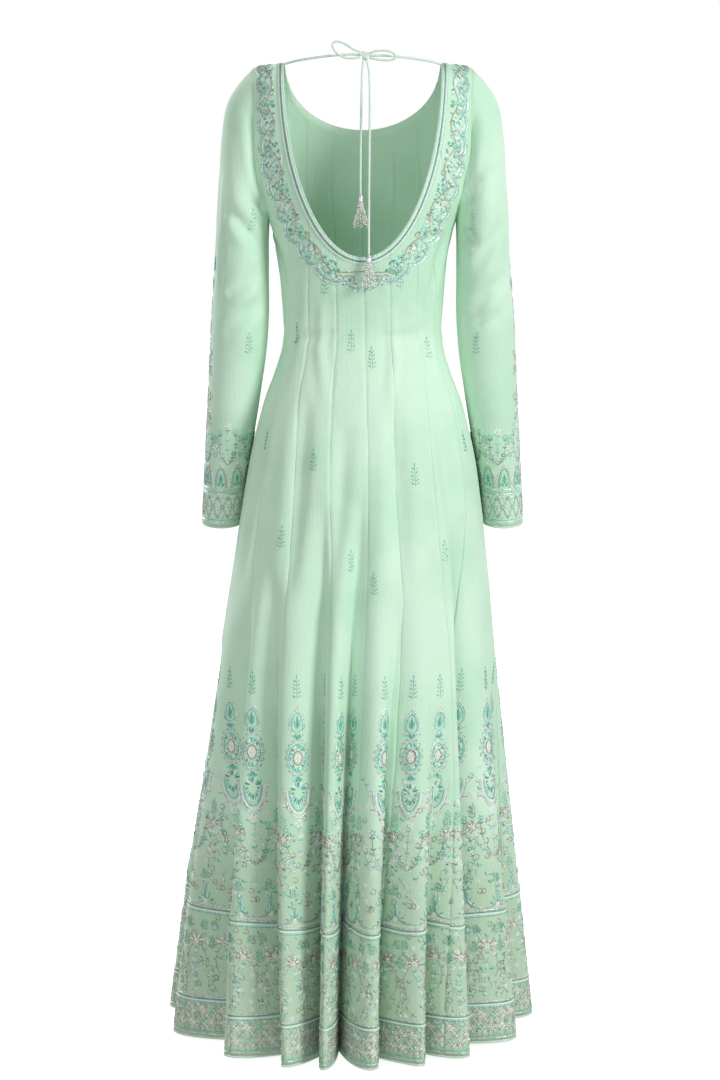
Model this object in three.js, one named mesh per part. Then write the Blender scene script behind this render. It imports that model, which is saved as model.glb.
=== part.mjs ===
// A floor-length anarkali gown, worn shape, hollow: sixteen flared kalis, two fitted
// sleeves, a deep open back with a tie cord, and piped edges.
// Millimetres, +Z up, the front faces -Y, the wearer's left is +X.
// The origin is midway between the tops of the shoulders, where the wearer holds it up.
import * as THREE from 'three';
import { mergeVertices } from 'three/addons/utils/BufferGeometryUtils.js';

// ---- driving dimensions ----
const LENGTH = 1368;            // shoulder to hem
const CLOTH = 1.6;              // wall thickness
const GAP = 0.3;                // between pieces at a seam
const WAIST_DROP = 383;
const ARMHOLE_DEPTH = 215;
const NECK = { halfWidth: 110, backDrop: 272, frontDrop: 86 };
const SHOULDER = { slopeFrom: 105, slopeOver: 49, fall: 6, fadeBy: 120, ridge: 45, easing: 20 };
const ARMHOLE = { backScoop: 26, frontScoop: 29, clearTop: 0.8, clearUnder: 4.6 };
const BINDING = { inset: 0.5, width: 13, thick: 1.2, lift: 1.2 };
const PIPING = { thick: 3, height: 3 };
const CORD = 3.4;               // diameter of the tie cord
const FLUTE = { roundness: 0.72, floor: 0.03, growth: 1.15 }; // round lobes, soft narrow valleys
const SIDES_OF_CORD = 8;

// Body sections, by drop below the shoulder. half = half width, back and front = depths,
// shift = sideways drift of the skirt, square = exponent of the section.
const BODY = [
  { drop: 0, half: 167, back: 78, front: 66, shift: 0, square: 2.5 },
  { drop: 50, half: 165, back: 86, front: 80, shift: 0, square: 2.5 },
  { drop: 110, half: 162, back: 94, front: 98, shift: 0, square: 2.5 },
  { drop: 165, half: 151, back: 97, front: 115, shift: 0, square: 2.45 },
  { drop: 215, half: 133, back: 97, front: 128, shift: 0, square: 2.4 },
  { drop: 260, half: 121, back: 95, front: 130, shift: 0, square: 2.4 },
  { drop: 320, half: 115, back: 90, front: 112, shift: 0, square: 2.35 },
  { drop: 383, half: 112, back: 86, front: 96, shift: 0, square: 2.3 },
  { drop: 420, half: 120, back: 93, front: 99, shift: 0, square: 2.3 },
  { drop: 481, half: 142, back: 111, front: 108, shift: 0, square: 2.25 },
  { drop: 560, half: 161, back: 130, front: 120, shift: 0, square: 2.2 },
  { drop: 700, half: 181, back: 154, front: 146, shift: 3, square: 2.15 },
  { drop: 850, half: 200, back: 183, front: 176, shift: 8, square: 2.1 },
  { drop: 1040, half: 225, back: 218, front: 212, shift: 13, square: 2.05 },
  { drop: 1200, half: 247, back: 246, front: 240, shift: 17, square: 2 },
  { drop: 1368, half: 267, back: 276, front: 266, shift: 19, square: 2 },
];

// Levels at which each seam's angle is given.
const LEVELS = { chest: 110, bust: 215, waist: 383, hip: 560, knee: 850, hem: 1368 };

// Seams, counted from the centre back towards the wearer's left. Angles in degrees from
// the centre back, at each level.
const SEAMS = [
  { name: 'back centre', chest: 0, bust: 0, waist: -1, hip: -2, knee: -3, hem: 0 },
  { name: 'back left 1', chest: 9.4, bust: 13, waist: 16, hip: 14, knee: 10.5, hem: 8 },
  { name: 'back left 2', chest: 23, bust: 31, waist: 40, hip: 34, knee: 31, hem: 19.5 },
  { name: 'back left 3', chest: 35, bust: 51, waist: 66, hip: 56, knee: 52, hem: 38 },
  { name: 'side left', chest: 90, bust: 90, waist: 90, hip: 86, knee: 82, hem: 76 },
  { name: 'front left 3', chest: 145, bust: 127, waist: 115, hip: 117, knee: 112, hem: 104 },
  { name: 'front left 2', chest: 156, bust: 148, waist: 140, hip: 141, knee: 137, hem: 131 },
  { name: 'front left 1', chest: 169, bust: 165, waist: 163, hip: 163, knee: 161, hem: 157 },
  { name: 'front centre', chest: 180, bust: 180, waist: 180, hip: 180, knee: 181, hem: 179 },
  { name: 'front right 1', chest: 191, bust: 195, waist: 197, hip: 197, knee: 199, hem: 201 },
  { name: 'front right 2', chest: 204, bust: 212, waist: 220, hip: 219, knee: 222, hem: 225 },
  { name: 'front right 3', chest: 215, bust: 233, waist: 245, hip: 242, knee: 247, hem: 252 },
  { name: 'side right', chest: 270, bust: 270, waist: 270, hip: 272, knee: 276, hem: 282 },
  { name: 'back right 3', chest: 325, bust: 309, waist: 294, hip: 301, knee: 309, hem: 314 },
  { name: 'back right 2', chest: 337, bust: 329, waist: 319, hip: 325.5, knee: 320, hem: 327 },
  { name: 'back right 1', chest: 350.6, bust: 347, waist: 343, hip: 345, knee: 341, hem: 343.5 },
];

// Fold valleys between the flutes of the skirt, in the same order. Angles in degrees,
// start = drop where the valley begins, deep = its depth at the hem, lean = how far its
// floor lies sideways under a flute there.
const FOLDS = [
  { name: 'back middle', hip: 0, knee: 1.5, hem: 2.3, start: 590, deep: 62, lean: 4 },
  { name: 'back left inner', hip: 17, knee: 15.3, hem: 12.4, start: 600, deep: 56, lean: -6 },
  { name: 'back left', hip: 42, knee: 40, hem: 26, start: 700, deep: 60, lean: -16 },
  { name: 'left hip', hip: 55, knee: 54, hem: 52, start: 760, deep: 74, lean: -24 },
  { name: 'left side', hip: 92, knee: 90, hem: 86, start: 820, deep: 44, lean: 8 },
  { name: 'front left side', hip: 112, knee: 111, hem: 108, start: 740, deep: 52, lean: 12 },
  { name: 'front left outer', hip: 132, knee: 131, hem: 129, start: 800, deep: 56, lean: -14 },
  { name: 'front left', hip: 152, knee: 151, hem: 150, start: 640, deep: 58, lean: 12 },
  { name: 'front left inner', hip: 171, knee: 171, hem: 170, start: 720, deep: 50, lean: -8 },
  { name: 'front right inner', hip: 189, knee: 190, hem: 190, start: 600, deep: 60, lean: 8 },
  { name: 'front right', hip: 208, knee: 210, hem: 211, start: 780, deep: 54, lean: -12 },
  { name: 'front right outer', hip: 228, knee: 231, hem: 233, start: 680, deep: 60, lean: 14 },
  { name: 'front right side', hip: 250, knee: 254, hem: 257, start: 820, deep: 48, lean: -8 },
  { name: 'right side', hip: 280, knee: 283, hem: 285, start: 850, deep: 44, lean: -8 },
  { name: 'right hip', hip: 309, knee: 311.6, hem: 312.8, start: 620, deep: 74, lean: 24 },
  { name: 'back right outer', hip: 327, knee: 326, hem: 331.7, start: 900, deep: 42, lean: 4 },
  { name: 'back right', hip: 343, knee: 342.7, hem: 344.2, start: 740, deep: 54, lean: 18 },
];
const KALIS = SEAMS.length;
// The four kalis that carry a shoulder strap, and the two whose first edge is the armhole.
const STRAP_KALIS = [3, 4, 11, 12];
const ARMHOLE_FIRST = [4, 12];
const COLUMNS = 6;                                 // strips across a kali
const YOKE_STEPS = 8;                              // rows from the shoulder to the armpit
const YOKE_CROWDING = 1.6;                         // above 1 the rows crowd at the shoulder ridge
const BODICE_STEPS = 3;                            // rows from there to the waist
const ACROSS = Array.from({ length: COLUMNS + 1 }, (_, column) => column / COLUMNS);
const SKIRT_DROPS = [383, 440, 500, 570, 660, 770, 900, 1040, 1200, LENGTH];

// Sleeve sections: out = distance of the centre from the middle of the body,
// wide and deep = half sizes, ahead = how far the centre lies towards the back.
const SLEEVE = [
  { drop: 0, out: 132, wide: 22, deep: 30, ahead: 2 },
  { drop: 20, out: 140, wide: 33, deep: 42, ahead: 2 },
  { drop: 50, out: 146, wide: 45, deep: 50, ahead: 2 },
  { drop: 100, out: 151, wide: 48, deep: 54, ahead: 2 },
  { drop: 160, out: 162, wide: 40.5, deep: 55, ahead: 2 },
  { drop: 215, out: 170, wide: 36, deep: 55, ahead: 2 },
  { drop: 290, out: 172, wide: 38, deep: 53, ahead: 3 },
  { drop: 350, out: 174, wide: 40, deep: 50, ahead: 3 },
  { drop: 400, out: 177, wide: 39.5, deep: 47, ahead: 1 },
  { drop: 460, out: 183, wide: 37, deep: 44, ahead: -5 },
  { drop: 520, out: 190, wide: 34, deep: 41, ahead: -15 },
  { drop: 590, out: 198, wide: 30.5, deep: 37, ahead: -28 },
  { drop: 650, out: 204, wide: 28.5, deep: 34, ahead: -40 },
];
const CUFF_DROP = 650;
const CUFF_TILT = { slope: 0.18, from: 420 };
const AROUND_SLEEVE = 16;
const DOWN_SLEEVE = [0, 0.05, 0.12, 0.22, 0.34, 0.45, 0.56, 0.67, 0.78, 0.89, 1];
const CAP_BLEND = 0.2;

// ---- small helpers ----
const RAD = Math.PI / 180;
const clamp01 = (value) => Math.min(1, Math.max(0, value));
const mix = (from, to, share) => from + (to - from) * share;
const smooth = (value) => {
  const held = clamp01(value);
  return held * held * (3 - 2 * held);
};

// A smooth curve through one column of a table, read at a drop.
function curveOf(table, column, drop) {
  const last = table.length - 1;
  const at = Math.min(Math.max(drop, table[0].drop), table[last].drop);
  let row = 0;
  while (row < last - 1 && at > table[row + 1].drop) row += 1;
  const slopeAt = (index) => {
    const before = table[Math.max(index - 1, 0)];
    const after = table[Math.min(index + 1, last)];
    return (after[column] - before[column]) / (after.drop - before.drop);
  };
  const [low, high] = [table[row], table[row + 1]];
  const span = high.drop - low.drop;
  const t = (at - low.drop) / span;
  const [t2, t3] = [t * t, t * t * t];
  return (2 * t3 - 3 * t2 + 1) * low[column] + (t3 - 2 * t2 + t) * span * slopeAt(row)
    + (3 * t2 - 2 * t3) * high[column] + (t3 - t2) * span * slopeAt(row + 1);
}

const bodyAt = (drop) => ({
  half: curveOf(BODY, 'half', drop),
  back: curveOf(BODY, 'back', drop),
  front: curveOf(BODY, 'front', drop),
  shift: curveOf(BODY, 'shift', drop),
  square: curveOf(BODY, 'square', drop),
});

// A row's angles as a table over the drop, so that curveOf can read it.
const angleCurves = (rows) => rows.map((row) => Object.entries(LEVELS)
  .filter(([level]) => level in row)
  .map(([level, drop]) => ({ drop, angle: row[level] })));
const SEAM_CURVES = angleCurves(SEAMS);
const FOLD_CURVES = angleCurves(FOLDS);

// The angle of a seam or fold at a drop. Past the last row the rows start again.
function angleOn(curves, index, drop) {
  const turns = Math.floor(index / curves.length);
  return curveOf(curves[index - turns * curves.length], 'angle', drop) + 360 * turns;
}

const seamAngle = (index, drop) => angleOn(SEAM_CURVES, index, drop);

// ---- the surface of the body: angle in degrees from the centre back, and reach,
// which grows from 0 at the shoulder ridge and eases into the drop ----
const dropOf = (reach) => (reach * reach) / (reach + SHOULDER.easing);
const reachOf = (drop) => (drop + Math.sqrt(drop * drop + 4 * SHOULDER.easing * drop)) / 2;
const ridgeRound = (drop) => Math.sqrt(1 - (1 - Math.min(drop / SHOULDER.ridge, 1)) ** 2);

function valleyAt(index, drop) {
  const fold = FOLDS[((index % FOLDS.length) + FOLDS.length) % FOLDS.length];
  const grown = clamp01((drop - fold.start) / (LENGTH - fold.start)) ** FLUTE.growth;
  return { angle: angleOn(FOLD_CURVES, index, drop), deep: fold.deep * grown, lean: fold.lean * grown };
}

// 0 in a valley and 1 on the crest of a lobe, from the same for a plain wave.
function lobeAt(wave) {
  const { roundness, floor } = FLUTE;
  return ((wave + floor) ** roundness - floor ** roundness) / ((1 + floor) ** roundness - floor ** roundness);
}

// How far the flutes pull the cloth in and sideways at an angle.
function fluteAt(angle, drop) {
  let index = -2;
  while (index < FOLDS.length && valleyAt(index + 1, drop).angle <= angle) index += 1;
  const [before, after] = [valleyAt(index, drop), valleyAt(index + 1, drop)];
  const phase = (angle - before.angle) / (after.angle - before.angle);
  const lobe = lobeAt(0.5 - 0.5 * Math.cos(2 * Math.PI * phase));
  const side = smooth(phase);
  return {
    inward: mix(before.deep, after.deep, side) * (1 - lobe),
    along: mix(before.lean, after.lean, side) * (1 - lobe),
  };
}

function ringPoint(body, angle, drop) {
  const [sin, cos] = [Math.sin(angle * RAD), Math.cos(angle * RAD)];
  const power = 2 / body.square;
  const depth = (cos > 0 ? body.back : body.front) * ridgeRound(drop);
  return new THREE.Vector2(
    body.shift + body.half * Math.sign(sin) * Math.abs(sin) ** power,
    depth * Math.sign(cos) * Math.abs(cos) ** power,
  );
}

const STEP = 0.05;

function bodyPoint(angle, reach) {
  const drop = dropOf(reach);
  const body = bodyAt(drop);
  const ring = ringPoint(body, angle, drop);
  if (drop > SKIRT_DROPS[1]) {
    const ahead = ringPoint(body, angle + STEP, drop);
    const along = ahead.sub(ringPoint(body, angle - STEP, drop)).normalize();
    const outward = new THREE.Vector2(along.y, -along.x).multiplyScalar(-1);
    const flute = fluteAt(angle, drop);
    ring.addScaledVector(outward, -flute.inward).addScaledVector(along, flute.along);
  }
  const past = Math.max(0, (Math.abs(ring.x) - SHOULDER.slopeFrom) / SHOULDER.slopeOver);
  const fade = clamp01(1 - drop / SHOULDER.fadeBy) ** 2;
  return new THREE.Vector3(ring.x, ring.y, -drop - SHOULDER.fall * past * past * fade);
}

function bodyNormal(angle, reach) {
  const across = bodyPoint(angle + STEP, reach).sub(bodyPoint(angle - STEP, reach));
  const down = bodyPoint(angle, reach + STEP).sub(bodyPoint(angle, Math.max(reach - STEP, 0)));
  return across.cross(down).normalize();
}

// ---- where the neckline and the armhole cross the body ----
const neckHalfWidth = (drop, deepest) => NECK.halfWidth * Math.sqrt(1 - Math.min(drop / deepest, 1) ** 2);

const isBack = (angle) => Math.cos(angle * RAD) > 0;
const neckDeepest = (angle) => (isBack(angle) ? NECK.backDrop : NECK.frontDrop);

// A lean of 0 to 90 degrees, set in the quarter of the ring that holds a given angle.
function onQuarter(lean, near) {
  const quarter = Math.floor((((near % 360) + 360) % 360) / 90);
  return [lean, 180 - lean, 180 + lean, 360 - lean][quarter];
}

// The angle at which a half width is reached, in the quarter that holds a given angle.
function angleOf(halfWidth, drop, near) {
  const body = bodyAt(drop);
  return onQuarter(Math.asin(clamp01(halfWidth / body.half) ** (body.square / 2)) / RAD, near);
}

// The armhole's angle away from the centre back, or from the centre front.
function armholeLean(drop, inBack) {
  const scoop = inBack ? ARMHOLE.backScoop : ARMHOLE.frontScoop;
  return 90 - scoop * Math.sqrt(1 - Math.min(drop / ARMHOLE_DEPTH, 1) ** 4);
}

const armholeAngle = (drop, near) => onQuarter(armholeLean(drop, isBack(near)), near);

// The drop at which a line that runs up the body meets the neckline.
const HALVINGS = 40;

function neckDropOn(angleAt) {
  const deepest = neckDeepest(angleAt(NECK.backDrop));
  let [high, low] = [0, deepest];
  for (let pass = 0; pass < HALVINGS; pass += 1) {
    const middle = (high + low) / 2;
    const halfWidth = Math.abs(bodyPoint(angleAt(middle), reachOf(middle)).x);
    if (halfWidth > neckHalfWidth(middle, deepest)) low = middle;
    else high = middle;
  }
  return (high + low) / 2;
}

// ---- closed walls from grids of points and normals ----
function meshFrom(points, triangles) {
  const geometry = new THREE.BufferGeometry();
  const numbers = points.flatMap((place) => place.toArray());
  geometry.setAttribute('position', new THREE.Float32BufferAttribute(numbers, 3));
  geometry.setIndex(triangles);
  return geometry;
}

// grid[row][column] holds { point, normal }. A closed grid joins its last column to the first.
function wall(grid, { closed = false, inner = -CLOTH / 2, outer = CLOTH / 2 } = {}) {
  const [rows, columns] = [grid.length, grid[0].length];
  const points = [];
  [outer, inner].forEach((offset) => grid.forEach((line) => line.forEach(({ point, normal }) => {
    points.push(point.clone().addScaledVector(normal, offset));
  })));
  const at = (layer, row, column) => layer * rows * columns + row * columns + (column % columns);
  const triangles = [];
  const quad = (a, b, c, d) => triangles.push(a, b, c, a, c, d);
  const spans = closed ? columns : columns - 1;
  for (let row = 0; row < rows - 1; row += 1) {
    for (let column = 0; column < spans; column += 1) {
      quad(at(0, row, column), at(0, row + 1, column), at(0, row + 1, column + 1), at(0, row, column + 1));
      quad(at(1, row, column), at(1, row, column + 1), at(1, row + 1, column + 1), at(1, row + 1, column));
    }
    if (!closed) {
      quad(at(0, row, 0), at(1, row, 0), at(1, row + 1, 0), at(0, row + 1, 0));
      const end = columns - 1;
      quad(at(0, row, end), at(0, row + 1, end), at(1, row + 1, end), at(1, row, end));
    }
  }
  for (let column = 0; column < spans; column += 1) {
    quad(at(0, 0, column), at(0, 0, column + 1), at(1, 0, column + 1), at(1, 0, column));
    const end = rows - 1;
    quad(at(0, end, column), at(1, end, column), at(1, end, column + 1), at(0, end, column + 1));
  }
  return facingOut(meshFrom(points, triangles));
}

// Turns every triangle over when the closed mesh encloses a negative volume.
function facingOut(geometry) {
  const [position, index] = [geometry.getAttribute('position'), geometry.getIndex()];
  const corner = (slot) => new THREE.Vector3().fromBufferAttribute(position, index.getX(slot));
  let volume = 0;
  for (let slot = 0; slot < index.count; slot += 3) {
    volume += corner(slot).dot(corner(slot + 1).cross(corner(slot + 2)));
  }
  if (volume < 0) {
    for (let slot = 0; slot < index.count; slot += 3) {
      const kept = index.getX(slot);
      index.setX(slot, index.getX(slot + 1));
      index.setX(slot + 1, kept);
    }
  }
  return geometry;
}

// ---- kalis ----
const patch = (angle, reach) => ({ point: bodyPoint(angle, reach), normal: bodyNormal(angle, reach) });

// The angle of a line that runs down a kali at a share of its width.
const lineAngle = (kali, share, drop) => mix(seamAngle(kali, drop), seamAngle(kali + 1, drop), share);

// The same line, kept half a gap clear of the seams at the kali's two edges.
function kaliAngle(kali, share, drop) {
  const angle = lineAngle(kali, share, drop);
  if (share > 0 && share < 1) return angle;
  const reach = reachOf(drop);
  const perDegree = bodyPoint(angle + STEP, reach).distanceTo(bodyPoint(angle - STEP, reach)) / (2 * STEP);
  return angle + (share === 0 ? 1 : -1) * (GAP / 2) / perDegree;
}

function kaliRowsBelow(kali, tops) {
  const bodiceRows = Array.from({ length: BODICE_STEPS }, (_, step) => ACROSS.map((share, column) => {
    const drop = mix(tops[column], WAIST_DROP, step / BODICE_STEPS);
    return patch(kaliAngle(kali, share, drop), reachOf(drop));
  }));
  const skirtRows = SKIRT_DROPS.map((drop) => ACROSS.map(
    (share) => patch(kaliAngle(kali, share, drop), reachOf(drop)),
  ));
  return [...bodiceRows, ...skirtRows];
}

function plainKali(kali) {
  const tops = ACROSS.map((share) => neckDropOn((drop) => lineAngle(kali, share, drop)));
  return wall(kaliRowsBelow(kali, tops));
}

// The neckline's drop at a level of a strap, 0 on the shoulder and 1 where its seam starts.
const strapNeckDrop = (seamTop, level) => dropOf(reachOf(seamTop) * level ** YOKE_CROWDING);

const armholeDrop = (share) => (ARMHOLE_DEPTH / 2) * (1 - Math.cos(Math.PI * share));

// A kali with a shoulder strap: above the armpit its two edges are the neckline and
// the armhole, and its top edge is the shoulder seam.
function strapKali(kali) {
  const sideFirst = ARMHOLE_FIRST.includes(kali);
  const middle = (seamAngle(kali, WAIST_DROP) + seamAngle(kali + 1, WAIST_DROP)) / 2;
  const neckSide = sideFirst ? 1 : 0;
  const seamTop = neckDropOn((drop) => lineAngle(kali, neckSide, drop));
  const edgeAt = (share, level) => {
    const toArmhole = sideFirst ? 1 - share : share;
    const armDrop = armholeDrop(level);
    const neckDrop = strapNeckDrop(seamTop, level);
    const armAngle = armholeAngle(armDrop, middle);
    const neckAngle = angleOf(neckHalfWidth(neckDrop, neckDeepest(middle)), neckDrop, middle);
    return {
      angle: mix(neckAngle, armAngle, toArmhole),
      reach: Math.max(mix(reachOf(neckDrop), reachOf(armDrop), toArmhole), GAP),
    };
  };
  const yokeRows = Array.from({ length: YOKE_STEPS }, (_, step) => ACROSS.map((share) => {
    const { angle, reach } = edgeAt(share, step / YOKE_STEPS);
    return patch(angle, reach);
  }));
  const tops = ACROSS.map((share) => {
    const toArmhole = sideFirst ? 1 - share : share;
    return dropOf(mix(reachOf(seamTop), reachOf(ARMHOLE_DEPTH), toArmhole));
  });
  return wall([...yokeRows, ...kaliRowsBelow(kali, tops)]);
}

// ---- sleeves ----
function sleeveRing(side, turn, drop) {
  const read = (column) => curveOf(SLEEVE, column, drop);
  const y = read('ahead') + read('deep') * Math.sin(turn);
  const tilt = CUFF_TILT.slope * smooth((drop - CUFF_TILT.from) / (CUFF_DROP - CUFF_TILT.from));
  return new THREE.Vector3(
    side * (read('out') + read('wide') * Math.cos(turn)),
    y,
    -drop - tilt * (y - read('ahead')),
  );
}

// turn runs from the shoulder point (0) by way of the back to the underarm (pi) and round.
function sleevePoint(side, turn, share) {
  const startDrop = armholeDrop(Math.acos(Math.cos(turn)) / Math.PI);
  const inBack = Math.sin(turn) >= 0;
  const lean = armholeLean(startDrop, inBack);
  const armhole = bodyPoint(side * (inBack ? lean : 180 - lean), reachOf(startDrop));
  armhole.x += side * mix(ARMHOLE.clearTop, ARMHOLE.clearUnder, startDrop / ARMHOLE_DEPTH);
  const drop = mix(startDrop, CUFF_DROP, share);
  const pull = 1 - smooth(share / CAP_BLEND);
  const offset = armhole.sub(sleeveRing(side, turn, startDrop)).multiplyScalar(pull);
  return sleeveRing(side, turn, drop).add(offset);
}

function sleevePatch(side, turn, share) {
  const step = 0.002;
  const across = sleevePoint(side, turn + step, share).sub(sleevePoint(side, turn - step, share));
  const [high, low] = [Math.max(share - step, 0), Math.min(share + step, 1)];
  const down = sleevePoint(side, turn, low).sub(sleevePoint(side, turn, high));
  return {
    point: sleevePoint(side, turn, share),
    normal: down.cross(across).multiplyScalar(side).normalize(),
  };
}

const sleeveTurns = Array.from({ length: AROUND_SLEEVE }, (_, step) => (2 * Math.PI * step) / AROUND_SLEEVE);

function sleeve(side) {
  const grid = DOWN_SLEEVE.map((share) => sleeveTurns.map((turn) => sleevePatch(side, turn, share)));
  return wall(grid, { closed: true });
}

// A square-section roll that hangs a gap below an edge.
function roll(edge) {
  const half = PIPING.thick / 2;
  const rows = [GAP, GAP + PIPING.height].map((below) => edge.map(({ point, normal }) => ({
    point: point.clone().setZ(point.z - below),
    normal: normal.clone().setZ(0).normalize(),
  })));
  return wall(rows, { closed: true, inner: -half, outer: half });
}

const cuffPiping = (side) => roll(sleeveTurns.map((turn) => sleevePatch(side, turn, 1)));

function hemPiping() {
  const edge = Array.from({ length: KALIS }, (_, kali) => ACROSS.slice(0, -1).map(
    (share) => patch(mix(seamAngle(kali, LENGTH), seamAngle(kali + 1, LENGTH), share), reachOf(LENGTH)),
  )).flat();
  return roll(edge);
}

// ---- the neck binding: a strip on the cloth along the whole neckline ----
// Turns along one quarter of the neckline, from 0 on the shoulder to 90 in the middle.
function neckTurns(seam, deepest, steps) {
  const seamTop = neckDropOn((drop) => seamAngle(seam, drop));
  const turnAt = (drop) => Math.asin(drop / deepest) / RAD;
  const levels = Array.from({ length: YOKE_STEPS }, (_, step) => step / YOKE_STEPS);
  const onStrap = levels.map((level) => turnAt(strapNeckDrop(seamTop, level)));
  const first = turnAt(seamTop);
  return [...onStrap, ...Array.from({ length: steps + 1 }, (_, step) => mix(first, 90, step / steps))];
}

// The four quarters of the neckline, by the seam at which each leaves its strap.
const NECK_QUARTERS = {
  backLeft: { seam: 3, back: true, side: 1, steps: 11 },
  frontLeft: { seam: 5, back: false, side: 1, steps: 7 },
  frontRight: { seam: 11, back: false, side: -1, steps: 7 },
  backRight: { seam: 13, back: true, side: -1, steps: 11 },
};

function neckBinding() {
  const deepestOf = (back) => (back ? NECK.backDrop : NECK.frontDrop);
  const quarter = ({ seam, back, side, steps }) => neckTurns(seam, deepestOf(back), steps)
    .map((turn) => ({ turn, back, side }));
  const stops = [
    ...quarter(NECK_QUARTERS.backLeft).reverse().slice(0, -1),
    ...quarter(NECK_QUARTERS.frontLeft).slice(0, -1),
    ...quarter(NECK_QUARTERS.frontRight).reverse().slice(0, -1),
    ...quarter(NECK_QUARTERS.backRight).slice(0, -1),
  ];
  const rowAt = (away) => stops.map(({ turn, back, side }) => {
    const deepest = deepestOf(back);
    const [cos, sin] = [Math.cos(turn * RAD), Math.sin(turn * RAD)];
    const normal = new THREE.Vector2(cos / NECK.halfWidth, sin / deepest).normalize();
    const width = NECK.halfWidth * cos + away * normal.x;
    const drop = Math.max(deepest * sin + away * normal.y, 0);
    const near = back ? side : 180 - side;
    return patch(angleOf(width, drop, near), Math.max(reachOf(drop), GAP));
  });
  const inner = CLOTH / 2 + BINDING.lift;
  const rows = [rowAt(BINDING.inset), rowAt(BINDING.width)];
  return wall(rows, { closed: true, inner, outer: inner + BINDING.thick });
}

// ---- the tie cord ----
const point = (x, y, z) => new THREE.Vector3(x, y, z);

const KNOT = { at: point(-3, 60, 6), half: point(6, 5, 6) };
const STRAND_LEFT = [
  point(3.4, 59, 7), point(18, 59.5, 8), point(36, 58, 7), point(54, 54.5, 5.6), point(70, 49.5, 4),
  point(84, 43.5, 2.4), point(96, 36.5, 0.7), point(104, 32.2, -1.2), point(109.4, 29.4, -2.4),
];
const STRAND_RIGHT = [
  point(-9.4, 59, 6), point(-24, 58.5, 6.4), point(-40, 56.5, 6), point(-56, 53, 4.8), point(-71, 48, 3.4),
  point(-85, 42, 2), point(-97, 35.5, 0.4), point(-105, 31.4, -1.4), point(-109.4, 29.2, -2.4),
];
const LOOP_LEFT = [
  point(3.4, 63.6, 4), point(12, 65, 2.4), point(24, 66, 3), point(34, 66, 8), point(40, 65, 15),
  point(42, 64, 21), point(38, 63.5, 25), point(31, 63.6, 24.6), point(22, 64, 20.4), point(13, 64.4, 14.6),
  point(3.4, 64.2, 10.4),
];
const LOOP_RIGHT = [
  point(-9.4, 63.6, 9), point(-17, 65, 11.6), point(-27, 66, 12.6), point(-37, 66, 11.6), point(-44, 65.4, 8),
  point(-46, 65, 3.6), point(-42, 65, 0.4), point(-34, 65.4, -0.6), point(-24, 65.6, 0), point(-16, 65, 1.4),
  point(-9.4, 64, 3),
];
const TAIL_LEFT = [
  point(-1, 61, -0.6), point(0.4, 61.6, -14), point(1.2, 62, -34), point(1.8, 62.3, -60),
  point(2.3, 62.6, -92), point(2.8, 62.8, -126), point(3, 62.9, -156), point(3, 63, -184),
];
const TAIL_RIGHT = [
  point(-5.6, 61.4, -0.6), point(-8.6, 63.6, -14), point(-9.8, 67, -36), point(-10, 72.4, -66),
  point(-9.6, 79, -104), point(-9.2, 86, -146), point(-8.8, 92.6, -188), point(-8.6, 99.4, -228),
  point(-8.5, 103.8, -254), point(-8.5, 105.5, -269),
];

function cord(route, steps) {
  const corners = Array.from({ length: SIDES_OF_CORD }, (_, corner) => {
    const turn = (2 * Math.PI * corner) / SIDES_OF_CORD;
    return new THREE.Vector2(Math.cos(turn) * CORD / 2, Math.sin(turn) * CORD / 2);
  });
  const geometry = new THREE.ExtrudeGeometry(new THREE.Shape(corners), {
    steps, extrudePath: new THREE.CatmullRomCurve3(route), bevelEnabled: false,
  });
  geometry.deleteAttribute('normal');
  geometry.deleteAttribute('uv');
  return facingOut(mergeVertices(geometry, 1e-4));
}

function knot() {
  const geometry = new THREE.SphereGeometry(1, 14, 10);
  geometry.scale(KNOT.half.x, KNOT.half.y, KNOT.half.z);
  return geometry;
}

// Tassel: a capped bead with a flared skirt of bead strings, hung a gap below a tail's end.
const TASSEL = { cap: 5, waist: 4.2, flare: 13, tall: 47, sides: 16 };

function tassel() {
  const { cap, waist, flare, tall } = TASSEL;
  const profile = [
    [0, 0], [cap * 0.7, -1.2], [cap, -5], [cap, -9], [waist, -12], [cap * 1.25, -18],
    [flare * 0.62, -27], [flare * 0.9, -tall + 6], [flare, -tall + 1.5], [flare * 0.96, -tall], [0, -tall],
  ];
  const outline = profile.reverse().map(([radius, z]) => new THREE.Vector2(radius, z));
  return new THREE.LatheGeometry(outline, TASSEL.sides).rotateX(Math.PI / 2);
}

// ---- the gown ----
const finish = (color, roughness, metalness = 0) => (
  new THREE.MeshStandardMaterial({ color, roughness, metalness })
);
const crepe = () => finish(0x9fd6bd, 0.75);
const gown = new THREE.Group();

function add(name, geometry, material, at = point(0, 0, 0)) {
  const mesh = new THREE.Mesh(geometry, material);
  mesh.name = name;
  mesh.position.copy(at);
  gown.add(mesh);
}

for (let kali = 0; kali < KALIS; kali += 1) {
  const shape = STRAP_KALIS.includes(kali) ? strapKali(kali) : plainKali(kali);
  add(`kali_${String(kali + 1).padStart(2, '0')}`, shape, crepe());
}
add('sleeve_left', sleeve(1), crepe());
add('sleeve_right', sleeve(-1), crepe());
add('neck_binding', neckBinding(), finish(0x7fc4b4, 0.5));
add('hem_piping', hemPiping(), finish(0xbfe3d2, 0.6));
add('cuff_piping_left', cuffPiping(1), finish(0xbfe3d2, 0.6));
add('cuff_piping_right', cuffPiping(-1), finish(0xbfe3d2, 0.6));
add('tie_strand_left', cord(STRAND_LEFT, 14), finish(0xa9d8c2, 0.6));
add('tie_strand_right', cord(STRAND_RIGHT, 14), finish(0xa9d8c2, 0.6));
add('bow_loop_left', cord(LOOP_LEFT, 24), finish(0xa9d8c2, 0.6));
add('bow_loop_right', cord(LOOP_RIGHT, 24), finish(0xa9d8c2, 0.6));
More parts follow.
